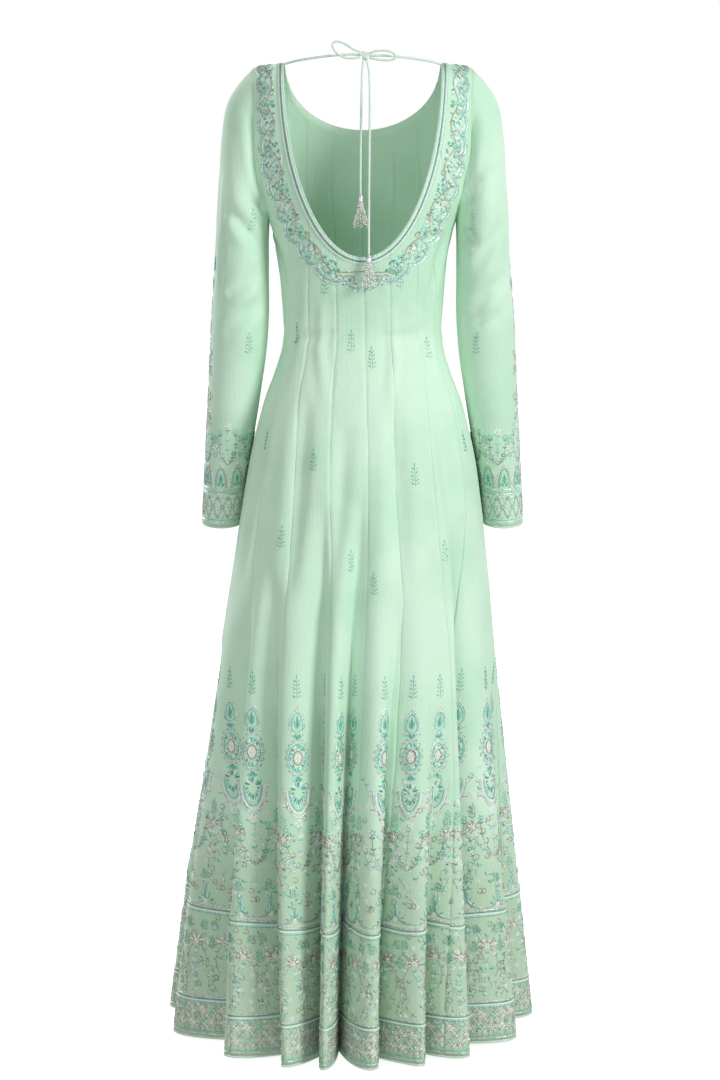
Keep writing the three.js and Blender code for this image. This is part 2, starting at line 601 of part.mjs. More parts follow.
add('tie_tail_left', cord(TAIL_LEFT, 22), finish(0xa9d8c2, 0.6));
add('tie_tail_right', cord(TAIL_RIGHT, 32), finish(0xa9d8c2, 0.6));
add('tie_knot', knot(), finish(0xa9d8c2, 0.6), KNOT.at);
[['tassel_left', TAIL_LEFT], ['tassel_right', TAIL_RIGHT]].forEach(([name, tail]) => {
  const end = tail[tail.length - 1];
  add(name, tassel(), finish(0xcfd8cf, 0.35, 0.4), end.clone().setZ(end.z - GAP));
});

export default gown;
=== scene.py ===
"""A floor-length anarkali gown in pale mint crepe, seen from the back.

Sixteen flared kalis, two fitted sleeves, a deep open back closed by a tie cord with two
beaded tassels, and embroidered neck, cuffs and hem. Garment sizes are in millimetres and
become metres where a mesh is made.
"""
import logging
import math
from dataclasses import dataclass, field
from enum import Enum
from typing import Callable, Iterable, NamedTuple, Sequence

import bpy
import numpy as np
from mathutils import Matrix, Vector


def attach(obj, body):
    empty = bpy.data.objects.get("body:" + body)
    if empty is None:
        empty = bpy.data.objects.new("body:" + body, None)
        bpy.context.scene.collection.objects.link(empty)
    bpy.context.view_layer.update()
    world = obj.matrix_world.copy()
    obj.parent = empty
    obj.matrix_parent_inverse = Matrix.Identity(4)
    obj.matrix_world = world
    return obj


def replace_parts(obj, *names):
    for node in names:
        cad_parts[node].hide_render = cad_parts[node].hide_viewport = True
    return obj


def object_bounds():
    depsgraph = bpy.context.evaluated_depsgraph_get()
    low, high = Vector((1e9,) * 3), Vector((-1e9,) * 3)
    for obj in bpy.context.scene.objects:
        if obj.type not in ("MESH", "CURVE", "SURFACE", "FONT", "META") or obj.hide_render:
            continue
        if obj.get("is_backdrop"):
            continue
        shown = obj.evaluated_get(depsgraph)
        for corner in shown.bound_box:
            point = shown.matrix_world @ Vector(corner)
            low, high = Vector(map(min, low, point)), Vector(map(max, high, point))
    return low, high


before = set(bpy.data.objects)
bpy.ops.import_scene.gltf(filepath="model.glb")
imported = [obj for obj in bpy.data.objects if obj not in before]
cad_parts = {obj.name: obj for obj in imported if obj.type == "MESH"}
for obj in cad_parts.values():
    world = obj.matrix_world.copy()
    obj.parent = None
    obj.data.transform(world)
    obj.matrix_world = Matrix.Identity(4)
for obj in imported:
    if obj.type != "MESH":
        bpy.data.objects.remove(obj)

log = logging.getLogger("gown")
MM = 0.001
Array = np.ndarray


# ---------------------------------------------------------------- small maths
def smooth(value: Array | float) -> Array:
    """Ease 0 to 1, held at both ends."""
    held = np.clip(value, 0.0, 1.0)
    return held * held * (3 - 2 * held)


def mix(low: Array | float, high: Array | float, share: Array | float) -> Array:
    """The value at a share of the way from low to high."""
    return low + (high - low) * share


def unit(vectors: Array) -> Array:
    """Vectors brought to length one along their last axis."""
    return vectors / np.maximum(np.linalg.norm(vectors, axis=-1, keepdims=True), 1e-12)


class Curve:
    """A smooth curve through the points of one column of a table."""

    def __init__(self, drops: Sequence[float], values: Sequence[float]) -> None:
        """Keep the points and the slope at each.

        Args:
            drops: where the values are given, rising.
            values: the values there.
        """
        self.at, self.value = np.array(drops, float), np.array(values, float)
        padded_at = np.concatenate([self.at[:1], self.at, self.at[-1:]])
        padded = np.concatenate([self.value[:1], self.value, self.value[-1:]])
        self.slope = (padded[2:] - padded[:-2]) / (padded_at[2:] - padded_at[:-2])

    def __call__(self, drop: Array | float) -> Array:
        """Read the curve.

        Args:
            drop: where to read it.

        Returns:
            The values there, held at the ends of the table.
        """
        where = np.clip(drop, self.at[0], self.at[-1])
        row = np.clip(np.searchsorted(self.at, where, side="left") - 1, 0, len(self.at) - 2)
        span = self.at[row + 1] - self.at[row]
        t = (where - self.at[row]) / span
        t2, t3 = t * t, t * t * t
        return ((2 * t3 - 3 * t2 + 1) * self.value[row] + (t3 - 2 * t2 + t) * span * self.slope[row]
                + (3 * t2 - 2 * t3) * self.value[row + 1] + (t3 - t2) * span * self.slope[row + 1])


# ---------------------------------------------------------------- the gown's sizes
LENGTH = 1368.0
WAIST_DROP = 383.0
ARMHOLE_DEPTH = 215.0
CUFF_DROP = 650.0
CLOTH = 1.3


class Section(NamedTuple):
    """One level of the body: half width, depths to the back and front, drift, exponent."""

    drop: float
    half: float
    back: float
    front: float
    shift: float
    square: float


BODY = (
    Section(0, 167, 78, 66, 0, 2.5), Section(50, 165, 86, 80, 0, 2.5),
    Section(110, 162, 94, 98, 0, 2.5), Section(165, 151, 97, 115, 0, 2.45),
    Section(215, 133, 97, 128, 0, 2.4), Section(260, 121, 95, 130, 0, 2.4),
    Section(320, 115, 90, 112, 0, 2.35), Section(383, 112, 86, 96, 0, 2.3),
    Section(420, 120, 93, 99, 0, 2.3), Section(481, 142, 111, 108, 0, 2.25),
    Section(560, 161, 130, 120, 0, 2.2), Section(700, 181, 154, 146, 3, 2.15),
    Section(850, 200, 183, 176, 8, 2.1), Section(1040, 225, 218, 212, 13, 2.05),
    Section(1200, 247, 246, 240, 17, 2), Section(1368, 267, 276, 266, 19, 2),
)


class Seam(NamedTuple):
    """A seam's angle from the centre back, at the six levels of SEAM_LEVELS."""

    name: str
    chest: float
    bust: float
    waist: float
    hip: float
    knee: float
    hem: float


SEAM_LEVELS = (110.0, 215.0, 383.0, 560.0, 850.0, 1368.0)
SEAMS = (
    Seam("back centre", 0, 0, -1, -2, -3, 0), Seam("back left 1", 9.4, 13, 16, 14, 10.5, 8),
    Seam("back left 2", 23, 31, 40, 34, 31, 19.5), Seam("back left 3", 35, 51, 66, 56, 52, 38),
    Seam("side left", 90, 90, 90, 86, 82, 76), Seam("front left 3", 145, 127, 115, 117, 112, 104),
    Seam("front left 2", 156, 148, 140, 141, 137, 131),
    Seam("front left 1", 169, 165, 163, 163, 161, 157),
    Seam("front centre", 180, 180, 180, 180, 181, 179),
    Seam("front right 1", 191, 195, 197, 197, 199, 201),
    Seam("front right 2", 204, 212, 220, 219, 222, 225),
    Seam("front right 3", 215, 233, 245, 242, 247, 252),
    Seam("side right", 270, 270, 270, 272, 276, 282),
    Seam("back right 3", 325, 309, 294, 301, 309, 314),
    Seam("back right 2", 337, 329, 319, 325.5, 320, 327),
    Seam("back right 1", 350.6, 347, 343, 345, 341, 343.5),
)
KALIS = len(SEAMS)
STRAP_KALIS = (3, 4, 11, 12)
ARMHOLE_FIRST = (4, 12)


class Fold(NamedTuple):
    """A valley between two flutes: its angles, where it starts, and its depth and lean."""

    name: str
    hip: float
    knee: float
    hem: float
    start: float
    deep: float
    lean: float


FOLD_LEVELS = SEAM_LEVELS[3:]
FOLDS = (
    Fold("back middle", 0, 1.5, 2.3, 590, 62, 4), Fold("back left inner", 17, 15.3, 12.4, 600, 56, -6),
    Fold("back left", 42, 40, 26, 700, 60, -16), Fold("left hip", 55, 54, 52, 760, 74, -24),
    Fold("left side", 92, 90, 86, 820, 44, 8), Fold("front left side", 112, 111, 108, 740, 52, 12),
    Fold("front left outer", 132, 131, 129, 800, 56, -14),
    Fold("front left", 152, 151, 150, 640, 58, 12),
    Fold("front left inner", 171, 171, 170, 720, 50, -8),
    Fold("front right inner", 189, 190, 190, 600, 60, 8),
    Fold("front right", 208, 210, 211, 780, 54, -12),
    Fold("front right outer", 228, 231, 233, 680, 60, 14),
    Fold("front right side", 250, 254, 257, 820, 48, -8),
    Fold("right side", 280, 283, 285, 850, 44, -8), Fold("right hip", 309, 311.6, 312.8, 620, 74, 24),
    Fold("back right outer", 327, 326, 331.7, 900, 42, 4),
    Fold("back right", 343, 342.7, 344.2, 740, 54, 18),
)
FLUTES_FROM = 440.0
# How much deeper the folds hang, and how much further they lean, than in the table.
DEEPEN, LEAN = 1.4, 1.9


class Half(Enum):
    """The back or the front of the gown."""

    BACK = 1
    FRONT = -1


class Side(Enum):
    """The wearer's left, at +X, or right."""

    LEFT = 1
    RIGHT = -1

    @property
    def word(self) -> str:
        """The side's name in piece names."""
        return self.name.lower()


# ---------------------------------------------------------------- the body's surface
@dataclass(frozen=True)
class Crease:
    """A soft trough or ridge along a route of (angle, drop) points.

    A positive depth pushes the cloth in, a negative one raises it.
    """

    route: tuple[tuple[float, float], ...]
    width: float
    depth: float


@dataclass
class Body:
    """The form of the bodice and skirt, by angle from the centre back and drop."""

    slope_from: float = 105.0
    slope_over: float = 49.0
    shoulder_fall: float = 6.0
    fall_fades_by: float = 120.0
    ridge: float = 45.0
    easing: float = 20.0
    lobe_power: float = 0.42
    valley_floor: float = 0.03
    valley_growth: float = 0.82
    neck_half_width: float = 110.0
    neck_drop: dict[Half, float] = field(default_factory=lambda: {Half.BACK: 272.0, Half.FRONT: 86.0})
    armhole_scoop: dict[Half, float] = field(default_factory=lambda: {Half.BACK: 26.0, Half.FRONT: 29.0})
    creases: tuple[Crease, ...] = ()

    def __post_init__(self) -> None:
        """Turn the tables into smooth curves."""
        drops = [row.drop for row in BODY]
        self.curve = {name: Curve(drops, [getattr(row, name) for row in BODY])
                      for name in ("half", "back", "front", "shift", "square")}
        self.seams = [Curve(SEAM_LEVELS, row[1:]) for row in SEAMS]
        self.folds = [Curve(FOLD_LEVELS, (row.hip, row.knee, row.hem)) for row in FOLDS]
        self.routes = [(crease, self._plain(*np.array(crease.route, float).T)) for crease in self.creases]

    def reach_of(self, drop: Array | float) -> Array:
        """The distance along the cloth from the shoulder ridge to a drop."""
        return (drop + np.sqrt(drop * drop + 4 * self.easing * drop)) / 2

    def drop_of(self, reach: Array | float) -> Array:
        """The drop at a distance along the cloth from the shoulder ridge."""
        return reach * reach / (reach + self.easing)

    def seam_angle(self, index: int, drop: Array | float) -> Array:
        """The angle of a seam, whose count may run past the last one."""
        return self.seams[index % KALIS](drop) + 360 * (index // KALIS)

    def _flute(self, angle: Array, drop: Array) -> tuple[Array, Array]:
        """How far the flutes pull the cloth in and sideways.

        Args:
            angle: degrees from the centre back.
            drop: drops, of the same shape.

        Returns:
            The inward and the sideways pull.
        """
        count = len(FOLDS)
        order = [-1, *range(count), count]
        angles = np.array([self.folds[k % count](drop) + 360 * (k // count) for k in order])
        grown = [np.clip((drop - FOLDS[k % count].start) / (LENGTH - FOLDS[k % count].start), 0, 1)
                 ** self.valley_growth for k in order]
        deep = np.array([DEEPEN * FOLDS[k % count].deep * grown[i] for i, k in enumerate(order)])
        lean = np.array([LEAN * FOLDS[k % count].lean * grown[i] for i, k in enumerate(order)])
        before = np.clip((angles <= angle).sum(axis=0) - 1, 0, count)
        pick = lambda table, index: np.take_along_axis(table, index[None], axis=0)[0]
        low, high = pick(angles, before), pick(angles, before + 1)
        phase = (angle - low) / (high - low)
        wave = 0.5 - 0.5 * np.cos(2 * math.pi * phase)
        base = self.valley_floor ** self.lobe_power
        top = (1 + self.valley_floor) ** self.lobe_power
        lobe = (np.maximum(wave + self.valley_floor, 0) ** self.lobe_power - base) / (top - base)
        side = smooth(phase)
        inward = mix(pick(deep, before), pick(deep, before + 1), side) * (1 - lobe)
        along = mix(pick(lean, before), pick(lean, before + 1), side) * (1 - lobe)
        return inward, along

    def _ring(self, angle: Array, drop: Array) -> Array:
        """The plain section at each drop, without flutes."""
        sin, cos = np.sin(np.radians(angle)), np.cos(np.radians(angle))
        power = 2 / self.curve["square"](drop)
        depth = np.where(cos > 0, self.curve["back"](drop), self.curve["front"](drop))
        depth = depth * np.sqrt(1 - (1 - np.minimum(drop / self.ridge, 1)) ** 2)
        x = self.curve["shift"](drop) + self.curve["half"](drop) * np.sign(sin) * np.abs(sin) ** power
        return np.stack([x, depth * np.sign(cos) * np.abs(cos) ** power], axis=-1)

    def _plain(self, angle: Array, drop: Array) -> Array:
        """Points of the surface before its creases are pressed in."""
        angle, drop = np.broadcast_arrays(np.asarray(angle, float), np.asarray(drop, float))
        ring = self._ring(angle, drop)
        step = 0.05
        along = unit(self._ring(angle + step, drop) - self._ring(angle - step, drop))
        outward = np.stack([-along[..., 1], along[..., 0]], axis=-1)
        inward, sideways = self._flute(angle, drop)
        fluted = (drop > FLUTES_FROM)[..., None]
        ring = ring + np.where(fluted, along * sideways[..., None] - outward * inward[..., None], 0)
        past = np.maximum(0, (np.abs(ring[..., 0]) - self.slope_from) / self.slope_over)
        fade = np.clip(1 - drop / self.fall_fades_by, 0, 1) ** 2
        return np.concatenate([ring, (-drop - self.shoulder_fall * past * past * fade)[..., None]], axis=-1)

    def point(self, angle: Array, drop: Array) -> Array:
        """Points of the cloth, creases and all.

        Args:
            angle: degrees from the centre back.
            drop: drops below the shoulder.

        Returns:
            Points in millimetres.
        """
        plain = self._plain(angle, drop)
        if not self.routes:
            return plain
        push = np.zeros(plain.shape[:-1])
        for crease, route in self.routes:
            push += crease_push(plain, crease, route)
        outward = plain * np.array([1.0, 1.0, 0.0])
        return plain - unit(outward) * push[..., None]

    def quarter(self, lean: Array, half: Half, side: int) -> Array:
        """A lean of 0 to 90 degrees from the centre, set in a quarter of the ring."""
        return np.where(half is Half.BACK, side * lean, side * (180 - lean))

    def angle_at_width(self, x: Array, drop: Array, half: Half) -> Array:
        """The angle at which the surface has a given x."""
        share = np.clip(np.abs(x) / self.curve["half"](drop), 0, 1)
        lean = np.degrees(np.arcsin(share ** (self.curve["square"](drop) / 2)))
        return self.quarter(lean, half, 1) * np.where(x < 0, -1, 1)

    def armhole_lean(self, drop: Array, half: Half) -> Array:
        """The armhole's angle away from the centre back or front."""
        return 90 - self.armhole_scoop[half] * np.sqrt(1 - np.minimum(drop / ARMHOLE_DEPTH, 1) ** 4)

    def neck_half(self, drop: Array, half: Half) -> Array:
        """Half the width of the neck opening at a drop."""
        return self.neck_half_width * np.sqrt(1 - np.minimum(drop / self.neck_drop[half], 1) ** 2)

    def neck_drop_on(self, angle_at: Callable[[Array], Array], half: Half) -> float:
        """The drop at which a line that runs up the body meets the neckline."""
        drops = np.linspace(0, self.neck_drop[half], 2400)
        gap = np.abs(self._plain(angle_at(drops), drops)[:, 0]) - self.neck_half(drops, half)
        return float(drops[np.argmax(gap > 0)])


def crease_push(points: Array, crease: Crease, route: Array) -> Array:
    """How far a crease pushes each point in.

    Args:
        points: points of the cloth.
        crease: the crease.
        route: the same crease's route in space.

    Returns:
        The push at each point, strongest in the middle of the crease.
    """
    nearest = np.full(points.shape[:-1], np.inf)
    position = np.zeros(points.shape[:-1])
    spans = len(route) - 1
    for index in range(spans):
        start, way = route[index], route[index + 1] - route[index]
        share = np.clip(((points - start) @ way) / (way @ way), 0, 1)
        away = np.linalg.norm(points - start - share[..., None] * way, axis=-1)
        closer = away < nearest
        nearest = np.where(closer, away, nearest)
        position = np.where(closer, (index + share) / spans, position)
    taper = np.sin(math.pi * np.clip(position, 0, 1)) ** 0.6
    profile = np.exp(-(nearest / crease.width) ** 2) - 0.45 * np.exp(-((nearest - 1.7 * crease.width)
                                                                      / crease.width) ** 2)
    return crease.depth * profile * taper


# ---------------------------------------------------------------- flat charts of the cloth
@dataclass
class Chart:
    """A patch of cloth laid flat: x across from its centre line, y down, height off it."""

    points: Array
    widths: Array
    first: float
    step: float
    facing: float = 1.0

    def __post_init__(self) -> None:
        """Work out the normal at each node of the grid."""
        across, down = np.gradient(self.points, axis=1), np.gradient(self.points, axis=0)
        self.normals = unit(np.cross(across, down)) * self.facing

    @classmethod
    def from_rows(cls, raw: Array, first: float, step: float, columns: int = 33) -> "Chart":
        """Even out a grid so that its columns are the same distance apart along each row.

        Args:
            raw: rows of points, evenly spaced in y.
            first: y of the first row.
            step: distance between rows.
            columns: columns of the finished grid.

        Returns:
            The chart.
        """
        steps = np.linalg.norm(np.diff(raw, axis=1), axis=-1)
        run = np.concatenate([np.zeros((len(raw), 1)), np.cumsum(steps, axis=1)], axis=1)
        even = np.linspace(0, 1, columns)
        rows = [np.stack([np.interp(even * run[r, -1], run[r], raw[r, :, axis]) for axis in range(3)],
                         axis=-1) for r in range(len(raw))]
        return cls(np.array(rows), run[:, -1], first, step)

    def width_at(self, y: Array | float) -> Array:
        """The width of the patch at y."""
        rows = self.first + self.step * np.arange(len(self.widths))
        return np.interp(y, rows, self.widths)

    def lay(self, flat: Array) -> Array:
        """Carry flat points onto the cloth.

        Args:
            flat: rows of x, y and height.

        Returns:
            Points in space.
        """
        rows, columns = self.points.shape[:2]
        down = np.clip((flat[:, 1] - self.first) / self.step, 0, rows - 1.001)
        across = np.clip(0.5 + flat[:, 0] / self.width_at(flat[:, 1]), 0, 1) * (columns - 1.001)
        row, column = down.astype(int), across.astype(int)
        v, u = (down - row)[:, None], (across - column)[:, None]

        def blend(grid: Array) -> Array:
            """Bilinear reading of a grid."""
            top = mix(grid[row, column], grid[row, column + 1], u)
            return mix(top, mix(grid[row + 1, column], grid[row + 1, column + 1], u), v)

        return blend(self.points) + unit(blend(self.normals)) * flat[:, 2:3]


# ---------------------------------------------------------------- the sleeve's surface
class Ring(NamedTuple):
    """One level of a sleeve: distance out, half sizes, and how far back its centre lies."""

    drop: float
    out: float
    wide: float
    deep: float
    ahead: float


SLEEVE = (
    Ring(0, 132, 22, 30, 2), Ring(20, 140, 33, 42, 2), Ring(50, 146, 45, 50, 2),
    Ring(100, 151, 48, 54, 2), Ring(160, 162, 40.5, 55, 2), Ring(215, 170, 36, 55, 2),
    Ring(290, 172, 38, 53, 3), Ring(350, 174, 40, 50, 3), Ring(400, 177, 39.5, 47, 1),
    Ring(460, 183, 37, 44, -5), Ring(520, 190, 34, 41, -15), Ring(590, 198, 30.5, 37, -28),
    Ring(650, 204, 28.5, 34, -40),
)


class SleeveCrease(NamedTuple):
    """A trough on a sleeve: a route of (turn in degrees, drop), its width and depth."""

    route: tuple[tuple[float, float], ...]
    width: float
    depth: float


@dataclass
class SleeveForm:
    """The form of one sleeve: turn 0 is the outer line, 90 the back and 180 the underarm."""

    body: Body
    side: Side
    creases: tuple[SleeveCrease, ...] = ()
    clear_top: float = -0.4
    clear_under: float = -0.4
    cap_blend: float = 0.2
    tilt_slope: float = 0.18
    tilt_from: float = 420.0

    def __post_init__(self) -> None:
        """Turn the table into smooth curves and place the creases."""
        drops = [row.drop for row in SLEEVE]
        self.curve = {name: Curve(drops, [getattr(row, name) for row in SLEEVE])
                      for name in ("out", "wide", "deep", "ahead")}
        self.routes = []
        for crease in self.creases:
            turns, lows = np.radians(np.array(crease.route, float)[:, 0]), np.array(crease.route, float)[:, 1]
            shape = Crease(crease.route, crease.width, crease.depth)
            self.routes.append((shape, self._plain(turns, lows)))

    def start_drop(self, turn: Array) -> Array:
        """The armhole's drop at a turn."""
        share = np.arccos(np.clip(np.cos(turn), -1, 1)) / math.pi
        return ARMHOLE_DEPTH / 2 * (1 - np.cos(math.pi * share))

    def _ring(self, turn: Array, drop: Array) -> Array:
        """Points of the sleeve's own tube."""
        ahead = self.curve["ahead"](drop)
        y = ahead + self.curve["deep"](drop) * np.sin(turn)
        tilt = self.tilt_slope * smooth((drop - self.tilt_from) / (CUFF_DROP - self.tilt_from))
        x = self.side.value * (self.curve["out"](drop) + self.curve["wide"](drop) * np.cos(turn))
        return np.stack([x, y, -drop - tilt * (y - ahead)], axis=-1)

    def _plain(self, turn: Array, drop: Array) -> Array:
        """Points of the sleeve before its creases are pressed in."""
        turn, drop = np.broadcast_arrays(np.asarray(turn, float), np.asarray(drop, float))
        start = self.start_drop(turn)
        low = np.maximum(drop, start)
        share = (low - start) / (CUFF_DROP - start)
        in_back = np.sin(turn) >= 0
        lean = np.where(in_back, self.body.armhole_lean(start, Half.BACK),
                        180 - self.body.armhole_lean(start, Half.FRONT))
        armhole = self.body._plain(self.side.value * lean, start)
        armhole[..., 0] += self.side.value * mix(self.clear_top, self.clear_under, start / ARMHOLE_DEPTH)
        pull = 1 - smooth(share / self.cap_blend)
        return self._ring(turn, low) + (armhole - self._ring(turn, start)) * pull[..., None]

    def point(self, turn: Array, drop: Array) -> Array:
        """Points of the sleeve.

        Args:
            turn: radians round the sleeve.
            drop: drops below the shoulder, held at the armhole.

        Returns:
            Points in millimetres.
        """
        plain = self._plain(turn, drop)
        ahead = self.curve["ahead"](drop)
        centre = np.stack([self.side.value * self.curve["out"](drop) + 0 * plain[..., 0],
                           ahead + 0 * plain[..., 0], plain[..., 2]], axis=-1)
        push = np.zeros(plain.shape[:-1])
        for crease, route in self.routes:
            push += crease_push(plain, crease, route)
        held = smooth((drop - self.start_drop(turn)) / 14)
        return plain - unit(plain - centre) * (push * held)[..., None]

    def chart(self) -> Chart:
        """The sleeve laid flat from its outer line, both ways to the underarm."""
        turns = np.linspace(-math.pi, math.pi, 97)[None, :] * (1 if self.side is Side.RIGHT else -1)
        step = 5.0
        drops = np.arange(0, CUFF_DROP + step / 2, step)[:, None]
        return Chart.from_rows(self.point(turns + 0 * drops, drops + 0 * turns), 0.0, step, 65)


# ---------------------------------------------------------------- meshes
def make_object(name: str, points: Array, faces: Sequence[Sequence[int]], finishes: Sequence["Finish"],
                which: Sequence[int] | None = None) -> bpy.types.Object:
    """Make a smooth-shaded mesh object.

    Args:
        name: the piece's name.
        points: its vertices in millimetres.
        faces: vertex indices of each face.
        finishes: the finishes of its material slots.
        which: the slot of each face, if there are several.

    Returns:
        The new object, riding on the gown.
    """
    mesh = bpy.data.meshes.new(name)
    mesh.from_pydata((np.asarray(points) * MM).tolist(), [], [list(map(int, face)) for face in faces])
    mesh.shade_smooth()
    for finish in finishes:
        mesh.materials.append(finish.material())
    if which is not None:
        mesh.polygons.foreach_set("material_index", np.asarray(which, dtype=np.int32))
    mesh.update()
    piece = bpy.data.objects.new(name, mesh)
    bpy.context.collection.objects.link(piece)
    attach(piece, "root")
    log.info("%s: %d faces", name, len(mesh.polygons))
    return piece


def shell_mesh(grid: Array, thickness: float, closed: bool = False) -> tuple[Array, list[tuple[int, ...]]]:
    """A thin closed shell on a grid of points.

    Args:
        grid: rows of points, the surface midway through the cloth.
        thickness: of the cloth.
        closed: whether the last column joins the first.

    Returns:
        The vertices and the faces.
    """
    rows, columns = grid.shape[:2]
    wrap = np.concatenate([grid[:, -1:], grid, grid[:, :1]], axis=1) if closed else grid
    across, down = np.gradient(wrap, axis=1), np.gradient(wrap, axis=0)
    normals = unit(np.cross(across, down))
    if closed:
        normals = normals[:, 1:-1]
    layers = np.concatenate([(grid + normals * side * thickness / 2).reshape(-1, 3) for side in (1, -1)])
    count = rows * columns
    spans = columns if closed else columns - 1
    r, c = np.meshgrid(np.arange(rows - 1), np.arange(spans), indexing="ij")
    a, b = r * columns + c, r * columns + (c + 1) % columns
    d, e = a + columns, b + columns
    outer = np.stack([a, d, e, b], axis=-1).reshape(-1, 4)
    inner = np.stack([a, b, e, d], axis=-1).reshape(-1, 4) + count
    line = np.arange(spans)
    nxt = (line + 1) % columns
    low = (rows - 1) * columns
    rims = [np.stack([line, nxt, nxt + count, line + count], axis=-1),
            np.stack([low + line, low + line + count, low + nxt + count, low + nxt], axis=-1)]
    if not closed:
        up = np.arange(rows - 1) * columns
        end = up + columns - 1
        rims += [np.stack([up, up + count, up + columns + count, up + columns], axis=-1),
                 np.stack([end, end + columns, end + columns + count, end + count], axis=-1)]
    return layers, np.concatenate([outer, inner, *rims]).tolist()


def sweep(path: Array, section: Callable[[Array, Array], Array], corners: int,
          closed: bool = False) -> tuple[Array, list[tuple[int, ...]]]:
    """A tube along a path, with round ends.

    Args:
        path: the points of its middle.
        section: gives the radius from the corner angles and the distance along.
        corners: corners of the section.
        closed: whether the path is a ring.

    Returns:
        The vertices and the faces.
    """
    if closed:
        tangent = unit(np.roll(path, -1, axis=0) - np.roll(path, 1, axis=0))
    else:
        tangent = unit(np.gradient(path, axis=0))
    run = np.concatenate([[0], np.cumsum(np.linalg.norm(np.diff(path, axis=0), axis=1))])
    side = np.zeros_like(path)
    seed = np.array([0.0, 0.0, 1.0]) if abs(tangent[0, 2]) < 0.9 else np.array([1.0, 0.0, 0.0])
    current = unit(np.cross(tangent[0], seed))
    for index, way in enumerate(tangent):
        current = unit(current - way * (current @ way))
        side[index] = current
    up = np.cross(tangent, side)
    turn = 2 * math.pi * np.arange(corners) / corners
    radius = section(turn[None, :], run[:, None])
    ring = side[:, None] * np.cos(turn)[None, :, None] + up[:, None] * np.sin(turn)[None, :, None]
    points = (path[:, None] + ring * radius[..., None]).reshape(-1, 3)
    count = len(path)
    spans = count if closed else count - 1
    r, c = np.meshgrid(np.arange(spans), np.arange(corners), indexing="ij")
    nr, nc = (r + 1) % count, (c + 1) % corners
    faces = np.stack([r * corners + c, r * corners + nc, nr * corners + nc, nr * corners + c],
                     axis=-1).reshape(-1, 4).tolist()
    if not closed:
        tips = np.array([path[0] - tangent[0] * radius[0].mean() * 0.6,
                         path[-1] + tangent[-1] * radius[-1].mean() * 0.6])
        base = len(points)
        points = np.concatenate([points, tips])
        last = (count - 1) * corners
        faces += [(base, (k + 1) % corners, k) for k in range(corners)]
        faces += [(base + 1, last + k, last + (k + 1) % corners) for k in range(corners)]
    return points, faces


def round_route(points: Sequence[tuple[float, float, float]], step: float) -> Array:
    """A smooth route through given points.

    Args:
        points: the points, in millimetres.
        step: the distance between the route's points.

    Returns:
        The route.
    """
    set_points = np.array(points, float)
    steps = np.linalg.norm(np.diff(set_points, axis=0), axis=1) ** 0.5
    knots = np.concatenate([[0], np.cumsum(steps)])
    curves = [Curve(knots, set_points[:, axis]) for axis in range(3)]
    fine = np.stack([curve(np.linspace(0, knots[-1], 60 * len(set_points))) for curve in curves], axis=-1)
    run = np.concatenate([[0], np.cumsum(np.linalg.norm(np.diff(fine, axis=0), axis=1))])
    even = np.linspace(0, run[-1], max(int(run[-1] / step), 2) + 1)
    return np.stack([np.interp(even, run, fine[:, axis]) for axis in range(3)], axis=-1)


# ---------------------------------------------------------------- shader maths
class Signal:
    """A shader socket that takes arithmetic: an expression adds its Math nodes."""

    def __init__(self, graph: "Graph", socket: bpy.types.NodeSocket) -> None:
        """Wrap a socket of a graph."""
        self.graph, self.socket = graph, socket

    def _math(self, operation: str, first: "Signal | float", second: "Signal | float") -> "Signal":
        """One Math node."""
        return self.graph.node("ShaderNodeMath", {"operation": operation}, {0: first, 1: second})

    def __add__(self, other: "Signal | float") -> "Signal":
        """Sum."""
        return self._math("ADD", self, other)

    __radd__ = __add__

    def __sub__(self, other: "Signal | float") -> "Signal":
        """Difference."""
        return self._math("SUBTRACT", self, other)

    def __rsub__(self, other: float) -> "Signal":
        """Difference from a number."""
        return self._math("SUBTRACT", other, self)

    def __mul__(self, other: "Signal | float") -> "Signal":
        """Product."""
        return self._math("MULTIPLY", self, other)

    __rmul__ = __mul__

    def __pow__(self, other: float) -> "Signal":
        """Power."""
        return self._math("POWER", self, other)


